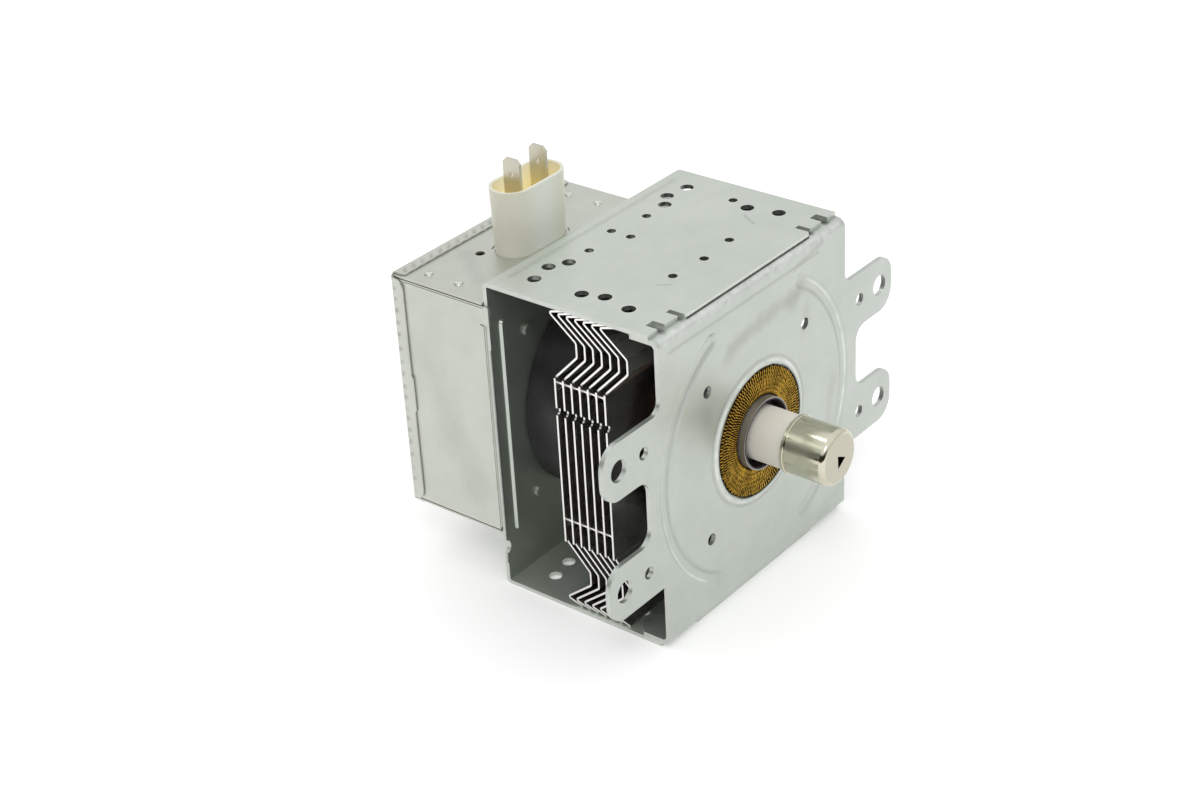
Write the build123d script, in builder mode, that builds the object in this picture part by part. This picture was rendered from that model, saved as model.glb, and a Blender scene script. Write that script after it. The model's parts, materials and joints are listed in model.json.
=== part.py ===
from build123d import *
import math
import os

os.makedirs("parts", exist_ok=True)

# A microwave-oven magnetron. All lengths are millimetres.
# The tube's axis is Y and its antenna points to -Y. The origin lies on that axis, in the front face of the
# mounting plate. X runs across the four ears and +Z points up to the two filament blades. The magnetron
# stands on the bottom plate of its yoke.

# Steel sheet of the yoke
yoke_sheet = 1.1
yoke_bend = 1.5  # outside of its bends
yoke_width = 75.7
yoke_height = 84.8
yoke_depth = 51.4  # mounting face to the back's outer face
yoke_lip = 1.6  # mounting face to the front edges of the top and bottom plates
yoke_side_lip = 2.8  # the same beyond the inner slots

# Staking tongues at the four front corners of the yoke: widths one after the other, from its sides inwards
outer_strip = 3.65
outer_slot = 2.7
tongue = 4.8
inner_slot = 1.6
slot_reach = 6.1  # mounting face to the slots' ends
lip_corner_r = 1.0

# Punched holes, the same in the top and the bottom plate
rivet_hole_r = 1.7
gauge_hole_r = 1.15
rear_rivet_holes = ((30.0, 9.4), (23.3, 8.2), (18.9, 10.8))  # x, distance from the back; on both sides
front_rivet_holes = ((28.3, 22.3), (30.0, 14.1))  # x, distance from the front; on both sides
left_rivet_hole = (-30.0, 27.8)
right_gauge_hole = (30.0, 27.8)
side_gauge_holes = ((11.3, 10.9),)  # x, distance from the back; on both sides
middle_gauge_holes = (8.8, 14.7)  # distance from the back
front_gauge_holes = ((11.3, 15.6), (0.0, 14.8))  # x, distance from the front

# Back of the yoke
back_middle_z = 1.35  # middle of its beads and studs
bead_from_side = 4.3
bead_width = 1.8
bead_length = 59.1
bead_height = 0.7
bead_slope = 30.0
bead_groove_width = 0.9
stud_x = 24.7
stud_z = 22.9  # from the beads' middle
stud_r = 1.4
stud_height = 0.7
edge_notch_r = 2.2
edge_notch_depth = 1.3
edge_notch_heights = (33.5, -31.5)
stem_hole_r = 10.5

# Mounting plate
plate_sheet = 1.2
plate_bend = 2.3
flange_reach = 9.9
flange_chamfer = 1.9
ear_span = 118.8
ear_height = 47.0
ear_gap = 17.4
ear_gap_depth = 16.4  # into the ears, from their ends
ear_corner_r = 5.5
ear_gap_r = 4.0
ear_root_top_r = 3.0
ear_root_bottom_r = 0.8
ear_hole_inset = 5.64  # from the ears' ends
ear_hole_spacing_z = 32.46
ear_hole_r = 2.8
locating_inset = 14.8  # from the ears' ends
locating_spacing_z = 32.4
locating_r = 1.65
plate_hole_spacing_x = 40.2
plate_hole_spacing_z = 40.6
plate_hole_r = 1.55
antenna_hole_r = 9.6
groove_r = 37.4
groove_half_angle = 61.0
groove_depth = 0.55
groove_half_mouth = 2.05
groove_half_floor = 1.05
groove_back_extra = 0.4  # how much wider the ridge behind the groove is, each side
lip_inner_r = 16.95
lip_flat_r = 17.7
lip_outer_r = 18.9
lip_height = 0.5
dimple_x = -18.6
dimple_z = -32.5
dimple_r = 0.8
dimple_depth = 0.4

# Knitted wire gasket in front of the plate
gasket_inner_r = 9.3
gasket_outer_r = 16.8
gasket_thickness = 0.7
gasket_round = 0.2

# Ring magnets
magnet_r = 27.8
magnet_bore_r = 10.4
magnet_thickness = 12.0
magnet_chamfer = 0.5

# Tube body between the magnets
seal_flange = 0.5
seal_flange_r = 19.4
anode_r = 20.0
anode_bore_r = 17.7
pole_sheet = 1.8
pole_flat_r = 12.5
pole_tip_r = 8.0
pole_hole_r = 4.7
pole_depth = 4.4  # rim to tip
pole_back_inset = 0.6  # the cone's hollow side lies this much nearer the axis
braze_gap = 0.05

# Vanes and straps
vane_count = 10
vane_thickness = 2.0
vane_tip_r = 4.5
vane_end_space = 2.3  # pole tip to vane
strap_width = 1.0
strap_thickness = 0.9
inner_strap_r = 5.5
outer_strap_r = 7.3
strap_sink = 0.3  # the straps lie this far below the vanes' edges
strap_air = 0.4  # round and under a strap where it touches no vane

# Output end: thin seal cup, ceramic, exhaust tube and cap
seal_wall = 0.3
output_cup_base_r = 10.0
output_cup_r = 9.25
output_cup_cone = 7.4
output_rim_proud = 2.3  # in front of the mounting face
output_shelf = 3.8  # rim to the shelf that carries the ceramic
output_ceramic_r = 6.9
output_ceramic_bore_r = 5.4
output_ceramic_length = 12.44
exhaust_r = 2.0
exhaust_length = 11.5
exhaust_sink = 1.9  # how far the tube reaches back into the ceramic
pinch_length = 3.5
pinch_thickness = 0.7
exhaust_cup_height = 4.0
lead_r = 0.8
lead_room = 0.2
lead_attach_r = 9.6
lead_hole_r = 1.9
lead_straight = 5.1  # vane to the lead's first bend
lead_slope_y = 9.5
lead_bend_r = 2.0
cap_r = 7.18
cap_sheet = 0.4
cap_edge_r = 1.5
cap_length = 12.41
cap_bead_r = 7.55
cap_bead_width = 0.96
cap_bead_round = 0.15
cap_fit = 0.03
cap_hole_r = 2.1
cap_hole_x = 0.15
cap_hole_z = -0.67
cap_hole_turn = 3.0
cap_hole_corner_r = 0.2

# Cathode and stem
filament_r = 1.75
filament_wire = 0.5
filament_pitch = 1.65
hat_r = 3.6
hat_thickness = 0.8
filament_overhang = 0.25  # past the vanes, at each end
hat_bore_r = 1.15
cathode_lead_r = 0.75
side_lead_x = 2.6
stem_pin_x = 4.0
stem_bend_start = 38.5
stem_bend_end = 43.5
stem_bend_r = 2.0
stem_cup_height = 9.0
stem_cup_base_r = 10.0
stem_cup_r = 9.6
stem_shelf_r = 7.0
stem_ceramic_r = 9.0
stem_proud = 1.6  # behind the yoke
pin_fit = 0.05
tag_sheet = 0.6
tag_width = 3.2
tag_top = 2.2
tag_drop = 8.0
tag_reach = 5.6

# Cooling fins
fin_count = 7
fin_sheet = 0.5
first_fin_gap = 2.6  # anode's front end to the first fin
last_fin_gap = 6.7  # last fin to the anode's rear end
fin_inset = 0.15  # behind the yoke's sides
fin_end_inset = 0.7  # bent ends behind the fin's own sides
fin_body_height = 45.5
fin_fold_z = 22.9
fin_step = 6.6
fin_shelf_z = 29.8
fin_shelf_top_z = 33.6
fin_hairpin_y = 1.1
fin_foot_run = 4.6
fin_foot_air = 0.18  # between two feet, across them
fin_fold_r = 1.0
fin_hairpin_r = 0.45
foot_gap = 0.02
fin_magnet_gap = 1.0
collar_gap = 0.07
notch_r = 1.0
notch_inset = 0.1
notch_z = 13.7
tab_width = 2.0
tab_from_side = 0.7
tab_heights = (21.4, -16.6)
tab_gap = 0.02

# Filter box of thin sheet on the yoke's back, and its lid
tin = 0.5
tin_bend = 1.0
seam = 0.3
box_width = 64.5
box_top = 36.85
box_height = 64.15
box_depth = 28.9
stem_window_r = 10.0
grip_reach = 1.5  # past the yoke's back face
grip_height = 4.95
lid_fit = 0.05
lid_flange = 3.9
rivet_middle = -0.8  # from the box's middle
rivet_x = 26.8
rivet_y = 16.3
rivet_pitch = 9.55
rivet_r = 1.4
rivet_top_r = 0.9
rivet_height = 0.45
test_hole_x = -18.35
test_hole_y = 18.05
test_hole_r = 1.2
slit_length = 2.1
slit_width = 0.4
slit_from_foot = 0.75  # outside the shroud's rounded ends
slit_places = ((-1, 113.0), (1, -41.0))  # left or right end, and the angle about that end's middle

# Feed-through capacitor with its moulded shroud and the two blades
block_x = -6.05
block_y = 12.1  # behind the yoke's back
shroud_length = 21.6
shroud_width = 10.2
shroud_height = 17.85
shroud_taper = 1.35
shroud_wall = 0.8
shroud_floor = 5.75
shroud_fit = 0.15
blade_spacing = 9.8
blade_width = 5.2
blade_thickness = 0.8
blade_height = 23.6
blade_chamfer = 1.0
blade_hole_r = 0.65
blade_hole_drop = 4.2
blade_seat = 0.75
blade_fit = 0.05
rod_r = 0.9
rod_length = 15.0
rod_fit = 0.1
capacitor_plate = 0.8
capacitor_plate_length = 23.5
capacitor_plate_width = 12.0
capacitor_plate_corner_r = 2.0
capacitor_window_length = 18.0
capacitor_window_width = 7.0
capacitor_length = 21.0
capacitor_width = 10.0
capacitor_thickness = 6.0
capacitor_bore_r = 1.6
bushing_plate = 2.0
bushing_tube_r = 1.9
bushing_tube = 4.4

# Filter chokes: wire wound on ferrite rods
choke_wire_r = 0.75
choke_turns = 12
choke_core_r = 2.2
choke_core_overhang = 1.0
choke_core_fit = 0.05
choke_tail = 3.2
choke_tail_bend_r = 1.2

pick_room = 0.01  # how near a corner must be to its place to be picked

# Places that follow from the sizes above
side = yoke_width / 2
inside_top = yoke_height / 2 - yoke_sheet
back_inside = yoke_depth - yoke_sheet
yoke_bend_mid = yoke_bend - yoke_sheet / 2
plate_bend_mid = plate_bend - plate_sheet / 2
tube_front = plate_sheet + magnet_thickness
tube_rear = back_inside - magnet_thickness
tube_mid = (tube_front + tube_rear) / 2
shell_front = tube_front + seal_flange
shell_rear = tube_rear - seal_flange
fin_pitch = (shell_rear - shell_front - first_fin_gap - last_fin_gap) / (fin_count - 1)
vane_front = shell_front + pole_depth + vane_end_space
vane_rear = shell_rear - pole_depth - vane_end_space
output_shelf_y = output_shelf - output_rim_proud
output_tip = output_shelf_y - output_ceramic_length
stem_shelf_y = tube_rear + stem_cup_height
stem_end = yoke_depth + stem_proud
ear_gap_span = ear_span - 2 * ear_gap_depth
ear_hole_spacing_x = ear_span - 2 * ear_hole_inset
locating_spacing_x = ear_span - 2 * locating_inset
box_left = -side - tin
box_right = box_left + box_width
box_bottom = box_top - box_height
box_rear = yoke_depth + box_depth
block_centre_y = yoke_depth + block_y
blade_places = {"left": block_x - blade_spacing / 2, "right": block_x + blade_spacing / 2}
shroud_base = box_top - tin
blade_base = shroud_base + blade_seat
rod_end = blade_base - rod_length
capacitor_top = shroud_base - capacitor_plate
capacitor_bottom = capacitor_top - capacitor_thickness


def upright(y):
    """Plane across the tube at depth y, seen from the front: x to the right, z up, normal to -Y."""
    return Plane((0, y, 0), x_dir=(1, 0, 0), z_dir=(0, -1, 0))


def through_axis(angle):
    """Plane through the tube's axis, turned from X towards Z. Its sketches are (radius, y) sections."""
    turn = math.radians(angle)
    outwards = (math.cos(turn), 0, math.sin(turn))
    return Plane((0, 0, 0), x_dir=outwards, z_dir=(-math.sin(turn), 0, math.cos(turn)))


def outline(*points):
    """Fill the closed outline through these points, in the sketch at hand."""
    with BuildLine() as border:
        Polyline(*points, close=True)
    make_face(border.edges())


def corners_at(sketch, x, y=None):
    """Pick a sketch's corners at x and at -x, at every height or only at y."""
    picked = sketch.vertices().filter_by(lambda corner: math.isclose(abs(corner.X), x, abs_tol=pick_room))
    if y is None:
        return picked
    return picked.filter_by(lambda corner: math.isclose(corner.Y, y, abs_tol=pick_room))


def from_behind(section):
    """Mirror a (radius, y) section from the tube's front end to its rear end."""
    return [(radius, 2 * tube_mid - y) for radius, y in section]


# Yoke: one sheet folded into a U that leads the field round from magnet to magnet
slot_edge = side - outer_strip - outer_slot - tongue - inner_slot
with BuildPart() as yoke_frame:
    with BuildSketch(Plane.YZ):
        with BuildLine():
            FilletPolyline(
                (yoke_lip, yoke_height / 2 - yoke_sheet / 2),
                (yoke_depth - yoke_sheet / 2, yoke_height / 2 - yoke_sheet / 2),
                (yoke_depth - yoke_sheet / 2, yoke_sheet / 2 - yoke_height / 2),
                (yoke_lip, yoke_sheet / 2 - yoke_height / 2),
                radius=yoke_bend_mid,
            )
        trace(line_width=yoke_sheet)
    extrude(amount=side, both=True)
    with BuildSketch(upright(back_inside)):
        with Locations((side - bead_from_side, back_middle_z), (bead_from_side - side, back_middle_z)):
            SlotOverall(bead_length, bead_width, rotation=90)
    extrude(amount=bead_height, taper=bead_slope)
    with BuildSketch(upright(back_inside)):
        with Locations((0, back_middle_z)):
            with GridLocations(2 * stud_x, 2 * stud_z, 2, 2):
                Circle(stud_r)
    extrude(amount=stud_height)
    with BuildSketch(upright(yoke_depth)):
        Circle(stem_hole_r)
        for height in edge_notch_heights:
            with Locations((0, height)):
                with GridLocations(2 * (side + edge_notch_r - edge_notch_depth), 1, 2, 1):
                    Circle(edge_notch_r)
    extrude(amount=yoke_sheet, mode=Mode.SUBTRACT)
    with BuildSketch(upright(yoke_depth)):
        with Locations((0, back_middle_z)):
            with GridLocations(2 * stud_x, 2 * stud_z, 2, 2):
                Circle(stud_r)
    extrude(amount=stud_height, mode=Mode.SUBTRACT)
    with BuildSketch(upright(yoke_depth)):
        with Locations((side - bead_from_side, back_middle_z), (bead_from_side - side, back_middle_z)):
            SlotOverall(bead_length - bead_width + bead_groove_width, bead_groove_width, rotation=90)
    extrude(amount=bead_height, mode=Mode.SUBTRACT)
    with BuildSketch():
        for hand in (-1, 1):
            for x, from_back in rear_rivet_holes:
                with Locations((hand * x, yoke_depth - from_back)):
                    Circle(rivet_hole_r)
            for x, from_back in side_gauge_holes:
                with Locations((hand * x, yoke_depth - from_back)):
                    Circle(gauge_hole_r)
            for x, y in front_rivet_holes:
                with Locations((hand * x, y)):
                    Circle(rivet_hole_r)
            for x, y in front_gauge_holes:
                with Locations((hand * x, y)):
                    Circle(gauge_hole_r)
        for from_back in middle_gauge_holes:
            with Locations((0, yoke_depth - from_back)):
                Circle(gauge_hole_r)
        with Locations(left_rivet_hole):
            Circle(rivet_hole_r)
        with Locations(right_gauge_hole):
            Circle(gauge_hole_r)
    extrude(amount=yoke_height, both=True, mode=Mode.SUBTRACT)
    with BuildSketch():
        for hand in (-1, 1):
            with Locations((hand * (side - outer_strip - outer_slot / 2), slot_reach)):
                Rectangle(outer_slot, slot_reach, align=(Align.CENTER, Align.MAX))
            with Locations((hand * (slot_edge + inner_slot / 2), slot_reach)):
                Rectangle(inner_slot, slot_reach, align=(Align.CENTER, Align.MAX))
            with Locations((hand * (slot_edge + side) / 2, yoke_side_lip)):
                Rectangle(side - slot_edge, yoke_side_lip, align=(Align.CENTER, Align.MAX))
    extrude(amount=yoke_height, both=True, mode=Mode.SUBTRACT)
    lip_corners = yoke_frame.edges().filter_by(Axis.Z).group_by(Axis.Y)[0]
    fillet(lip_corners, lip_corner_r)
yoke_frame.part.label = "yoke_frame"
export_step(yoke_frame.part, "parts/yoke_frame.step")


def arc_channels(mouth_y, floor_y, half_mouth, half_floor, mode):
    """Two arcs, left and right of the antenna, with sloping flanks and coned ends, in the part at hand."""
    for turn in (0, 180):
        with BuildSketch(through_axis(turn + groove_half_angle)) as section:
            outline(
                (groove_r - half_mouth, mouth_y),
                (groove_r - half_floor, floor_y),
                (groove_r + half_floor, floor_y),
                (groove_r + half_mouth, mouth_y),
            )
        revolve(section.sketch, axis=Axis.Y, revolution_arc=2 * groove_half_angle, mode=mode)
        for end in (-groove_half_angle, groove_half_angle):
            angle = math.radians(turn + end)
            tip = (groove_r * math.cos(angle), mouth_y, groove_r * math.sin(angle))
            with Locations(Plane(tip, z_dir=(0, 1, 0))):
                Cone(
                    half_mouth,
                    half_floor,
                    floor_y - mouth_y,
                    align=(Align.CENTER, Align.CENTER, Align.MIN),
                    mode=mode,
                )


# Mounting plate: four ears in the plate's own plane, two flanges folded back inside the yoke
flange_mid = inside_top - plate_sheet / 2
with BuildPart() as mounting_plate:
    with BuildSketch(Plane.YZ):
        with BuildLine():
            FilletPolyline(
                (flange_reach, flange_mid),
                (plate_sheet / 2, flange_mid),
                (plate_sheet / 2, -flange_mid),
                (flange_reach, -flange_mid),
                radius=plate_bend_mid,
            )
        trace(line_width=plate_sheet)
    extrude(amount=side, both=True)
    flange_corners = mounting_plate.edges().filter_by(Axis.Z).group_by(Axis.Y)[-1]
    chamfer(flange_corners, flange_chamfer)
    with BuildSketch(upright(0)) as ears:
        Rectangle(yoke_width, 2 * (inside_top - plate_bend))
        Rectangle(ear_span, ear_height)
        with GridLocations((ear_span + ear_gap_span) / 2, 1, 2, 1):
            Rectangle((ear_span - ear_gap_span) / 2, ear_gap, mode=Mode.SUBTRACT)
        fillet(corners_at(ears, ear_span / 2), ear_corner_r)
        fillet(corners_at(ears, ear_gap_span / 2), ear_gap_r)
        fillet(corners_at(ears, side, ear_height / 2), ear_root_top_r)
        fillet(corners_at(ears, side, -ear_height / 2), ear_root_bottom_r)
    extrude(amount=-plate_sheet)
    back_half_mouth = groove_half_mouth + groove_back_extra
    back_half_floor = groove_half_floor + groove_back_extra
    arc_channels(plate_sheet, plate_sheet + groove_depth, back_half_mouth, back_half_floor, Mode.ADD)
    arc_channels(0, groove_depth, groove_half_mouth, groove_half_floor, Mode.SUBTRACT)
    with BuildSketch():
        outline(
            (lip_inner_r, plate_sheet / 2),
            (lip_inner_r, -lip_height),
            (lip_flat_r, -lip_height),
            (lip_outer_r, 0),
            (lip_outer_r, plate_sheet / 2),
        )
    revolve(axis=Axis.Y)
    with BuildSketch(upright(-lip_height)):
        Circle(antenna_hole_r)
        with GridLocations(ear_hole_spacing_x, ear_hole_spacing_z, 2, 2):
            Circle(ear_hole_r)
        with GridLocations(locating_spacing_x, locating_spacing_z, 2, 2):
            Circle(locating_r)
        with GridLocations(plate_hole_spacing_x, plate_hole_spacing_z, 2, 2):
            Circle(plate_hole_r)
    extrude(amount=-(lip_height + plate_sheet + groove_depth), mode=Mode.SUBTRACT)
    with BuildSketch(upright(0)):
        with Locations((dimple_x, dimple_z)):
            Circle(dimple_r)
    extrude(amount=-dimple_depth, mode=Mode.SUBTRACT)
mounting_plate.part.label = "mounting_plate"
export_step(mounting_plate.part, "parts/mounting_plate.step")

# Gasket: a flat ring of knitted wire that seals the plate against the oven's waveguide
with BuildPart() as rf_gasket:
    with BuildSketch():
        outline(
            (gasket_inner_r, 0),
            (gasket_inner_r, gasket_round - gasket_thickness),
            (gasket_inner_r + gasket_round, -gasket_thickness),
            (gasket_outer_r - gasket_round, -gasket_thickness),
            (gasket_outer_r, gasket_round - gasket_thickness),
            (gasket_outer_r, 0),
        )
    revolve(axis=Axis.Y)
rf_gasket.part.label = "rf_gasket"
export_step(rf_gasket.part, "parts/rf_gasket.step")

# Ring magnets, one at each end of the tube
for name, start in (("front_magnet", plate_sheet), ("rear_magnet", tube_rear)):
    with BuildPart() as magnet:
        with BuildSketch():
            outline(
                (magnet_bore_r, start),
                (magnet_r - magnet_chamfer, start),
                (magnet_r, start + magnet_chamfer),
                (magnet_r, start + magnet_thickness - magnet_chamfer),
                (magnet_r - magnet_chamfer, start + magnet_thickness),
                (magnet_bore_r, start + magnet_thickness),
            )
        revolve(axis=Axis.Y)
    magnet.part.label = name
    export_step(magnet.part, f"parts/{name}.step")

# Anode: copper tube
with BuildPart() as anode_cylinder:
    with BuildSketch(upright(shell_rear)):
        Circle(anode_r)
        Circle(anode_bore_r, mode=Mode.SUBTRACT)
    extrude(amount=shell_rear - shell_front)
anode_cylinder.part.label = "anode_cylinder"
export_step(anode_cylinder.part, "parts/anode_cylinder.step")

# Vanes: ten plates brazed into the anode. Each carries the inner strap at one end and the outer strap at
# the other, so that neighbours are joined in turn.
vane_notch_start = inner_strap_r - strap_air
vane_notch_end = outer_strap_r + strap_width + strap_air
seat_depth = strap_sink + strap_thickness
notch_depth = seat_depth + strap_air


def vane_edge(seat_r):
    """One end's edge of a vane as (radius, depth) points, with a seat for the strap at radius seat_r."""
    return [
        (vane_tip_r, 0),
        (vane_notch_start, 0),
        (vane_notch_start, notch_depth),
        (seat_r, notch_depth),
        (seat_r, seat_depth),
        (seat_r + strap_width, seat_depth),
        (seat_r + strap_width, notch_depth),
        (vane_notch_end, notch_depth),
        (vane_notch_end, 0),
        (anode_bore_r - braze_gap, 0),
    ]


with BuildPart() as anode_vanes:
    for number in range(vane_count):
        seats = (inner_strap_r, outer_strap_r) if number % 2 else (outer_strap_r, inner_strap_r)
        front_edge = [(radius, vane_front + depth) for radius, depth in vane_edge(seats[0])]
        rear_edge = [(radius, vane_rear - depth) for radius, depth in vane_edge(seats[1])]
        with BuildSketch(through_axis(90 + 360 * number / vane_count)):
            outline(*front_edge, *reversed(rear_edge))
        extrude(amount=vane_thickness / 2, both=True)
anode_vanes.part.label = "anode_vanes"
export_step(anode_vanes.part, "parts/anode_vanes.step")

# Straps: an inner and an outer ring in the notches at each end of the vanes
with BuildPart() as strap_rings:
    with BuildSketch():
        for inner_r in (inner_strap_r, outer_strap_r):
            for start in (vane_front + strap_sink, vane_rear - strap_sink - strap_thickness):
                with Locations((inner_r, start)):
                    Rectangle(strap_width, strap_thickness, align=(Align.MIN, Align.MIN))
    revolve(axis=Axis.Y)
strap_rings.part.label = "strap_rings"
export_step(strap_rings.part, "parts/strap_rings.step")

# Pole pieces: pressed iron cones in the anode's ends
pole_section = [
    (anode_bore_r - braze_gap, shell_front),
    (anode_bore_r - braze_gap, shell_front + pole_sheet),
    (pole_flat_r, shell_front + pole_sheet),
    (pole_tip_r, shell_front + pole_depth),
    (pole_hole_r, shell_front + pole_depth),
    (pole_hole_r, shell_front + pole_depth - pole_sheet),
    (pole_tip_r - pole_back_inset, shell_front + pole_depth - pole_sheet),
    (pole_flat_r - pole_back_inset, shell_front),
]
with BuildPart() as front_pole_piece:
    with BuildSketch():
        outline(*pole_section)
    revolve(axis=Axis.Y)
    with BuildSketch(upright(shell_front)):
        with Locations((0, lead_attach_r)):
            Circle(lead_hole_r)
    extrude(amount=-pole_depth, mode=Mode.SUBTRACT)
front_pole_piece.part.label = "front_pole_piece"
export_step(front_pole_piece.part, "parts/front_pole_piece.step")

with BuildPart() as rear_pole_piece:
    with BuildSketch():
        outline(*from_behind(pole_section))
    revolve(axis=Axis.Y)
rear_pole_piece.part.label = "rear_pole_piece"
export_step(rear_pole_piece.part, "parts/rear_pole_piece.step")

# Output seal cup: closes the anode and runs forwards through the magnet to the ceramic. Its rim is folded
# back on itself down to the shelf on which the ceramic is brazed.
with BuildPart() as output_seal_cup:
    with BuildSketch():
        outline(
            (seal_flange_r, tube_front),
            (output_cup_base_r, tube_front),
            (output_cup_r, tube_front - output_cup_cone),
            (output_cup_r, -output_rim_proud),
            (output_cup_r - 2 * seal_wall, -output_rim_proud),
            (output_cup_r - 2 * seal_wall, output_shelf_y),
            (output_ceramic_bore_r, output_shelf_y),
            (output_ceramic_bore_r, output_shelf_y + seal_wall),
            (output_cup_r - seal_wall, output_shelf_y + seal_wall),
            (output_cup_r - seal_wall, tube_front - output_cup_cone),
            (output_cup_base_r - seal_wall, tube_front),
            (output_cup_base_r - seal_wall, shell_front),
            (seal_flange_r, shell_front),
        )
    revolve(axis=Axis.Y)
output_seal_cup.part.label = "output_seal_cup"
export_step(output_seal_cup.part, "parts/output_seal_cup.step")

with BuildPart() as output_ceramic:
    with BuildSketch(upright(output_shelf_y)):
        Circle(output_ceramic_r)
        Circle(output_ceramic_bore_r, mode=Mode.SUBTRACT)
    extrude(amount=output_ceramic_length)
output_ceramic.part.label = "output_ceramic"
export_step(output_ceramic.part, "parts/output_ceramic.step")

# Exhaust cup: brazed on the ceramic's end, it holds the copper exhaust tube and carries the outer cap
exhaust_cup_r = cap_r - cap_sheet - cap_fit
with BuildPart() as exhaust_seal_cup:
    with BuildSketch():
        outline(
            (exhaust_r + braze_gap, output_tip),
            (exhaust_cup_r, output_tip),
            (exhaust_cup_r, output_tip - exhaust_cup_height),
            (exhaust_cup_r - seal_wall, output_tip - exhaust_cup_height),
            (exhaust_cup_r - seal_wall, output_tip - seal_wall),
            (exhaust_r + braze_gap, output_tip - seal_wall),
        )
    revolve(axis=Axis.Y)
exhaust_seal_cup.part.label = "exhaust_seal_cup"
export_step(exhaust_seal_cup.part, "parts/exhaust_seal_cup.step")

# Exhaust tube: pinched flat and closed on the end of the antenna lead
exhaust_base = output_tip + exhaust_sink
exhaust_tip = exhaust_base - exhaust_length
pinch_start = exhaust_tip + pinch_length
with BuildPart() as exhaust_tube:
    with BuildSketch(upright(exhaust_base)):
        Circle(exhaust_r)
    extrude(amount=exhaust_length)
    with BuildSketch(upright(exhaust_base)):
        Circle(lead_r + lead_room)
    extrude(amount=exhaust_base - pinch_start, mode=Mode.SUBTRACT)
    with BuildSketch(Plane.YZ):
        for hand in (-1, 1):
            outline(
                (pinch_start, hand * exhaust_r),
                (exhaust_tip, hand * pinch_thickness / 2),
                (exhaust_tip, hand * exhaust_r),
            )
    extrude(amount=exhaust_r, both=True, mode=Mode.SUBTRACT)
exhaust_tube.part.label = "exhaust_tube"
export_step(exhaust_tube.part, "parts/exhaust_tube.step")

# Antenna lead: from the top vane through the front pole piece, then along the axis into the exhaust tube
lead_bend_y = vane_front - lead_straight
with BuildPart() as antenna_lead:
    with BuildLine(Plane.YZ) as lead_path:
        FilletPolyline(
            (vane_front, lead_attach_r),
            (lead_bend_y, lead_attach_r),
            (lead_bend_y - lead_slope_y, 0),
            (pinch_start, 0),
            radius=lead_bend_r,
        )
    with BuildSketch(Plane((0, vane_front, lead_attach_r), x_dir=(1, 0, 0), z_dir=(0, -1, 0))):
        Circle(lead_r)
    sweep(path=lead_path.line)
antenna_lead.part.label = "antenna_lead"
export_step(antenna_lead.part, "parts/antenna_lead.step")

# Antenna cap: drawn cup with a rolled rim and a three-cornered hole in its end
cap_tip = output_tip - cap_length
with BuildPart() as antenna_cap:
    with BuildSketch():
        with BuildLine():
            FilletPolyline(
                (cap_r - cap_sheet / 2, output_tip),
                (cap_r - cap_sheet / 2, cap_tip + cap_sheet / 2),
                (0, cap_tip + cap_sheet / 2),
                radius=cap_edge_r - cap_sheet / 2,
            )
        trace(line_width=cap_sheet)
        outline(
            (cap_r - cap_sheet / 2, output_tip),
            (cap_bead_r - cap_bead_round, output_tip),
            (cap_bead_r, output_tip - cap_bead_round),
            (cap_bead_r, output_tip - cap_bead_width + cap_bead_round),
            (cap_bead_r - cap_bead_round, output_tip - cap_bead_width),
            (cap_r - cap_sheet / 2, output_tip - cap_bead_width),
        )
    revolve(axis=Axis.Y)
    with BuildSketch(upright(cap_tip + cap_sheet)) as cap_hole:
        with Locations((cap_hole_x, cap_hole_z)):
            RegularPolygon(cap_hole_r, 3, rotation=cap_hole_turn)
        fillet(cap_hole.vertices(), cap_hole_corner_r)
    extrude(amount=cap_sheet, mode=Mode.SUBTRACT)
antenna_cap.part.label = "antenna_cap"
export_step(antenna_cap.part, "parts/antenna_cap.step")

# Cathode: a helical filament between two end hats on a centre lead
filament_front = vane_front - filament_overhang
filament_rear = vane_rear + filament_overhang
filament_length = filament_rear - filament_front - filament_wire
with BuildPart() as cathode_filament:
    with BuildLine() as winding:
        Helix(
            pitch=filament_pitch,
            height=filament_length,
            radius=filament_r,
            center=(0, filament_front + filament_wire / 2, 0),
            direction=(0, 1, 0),
        )
    with BuildSketch(Plane(winding.line @ 0, x_dir=(0, 1, 0), z_dir=winding.line % 0)):
        Rectangle(filament_wire, filament_wire)
    sweep(path=winding.line, is_frenet=True)
cathode_filament.part.label = "cathode_filament"
export_step(cathode_filament.part, "parts/cathode_filament.step")

with BuildPart() as output_end_hat:
    with BuildSketch():
        outline(
            (0, filament_front - hat_thickness),
            (hat_r, filament_front - hat_thickness),
            (hat_r, filament_front),
            (0, filament_front),
        )
    revolve(axis=Axis.Y)
output_end_hat.part.label = "output_end_hat"
export_step(output_end_hat.part, "parts/output_end_hat.step")

with BuildPart() as stem_end_hat:
    with BuildSketch():
        outline(
            (hat_bore_r, filament_rear),
            (hat_r, filament_rear),
            (hat_r, filament_rear + hat_thickness),
            (hat_bore_r, filament_rear + hat_thickness),
        )
    revolve(axis=Axis.Y)
stem_end_hat.part.label = "stem_end_hat"
export_step(stem_end_hat.part, "parts/stem_end_hat.step")

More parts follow.
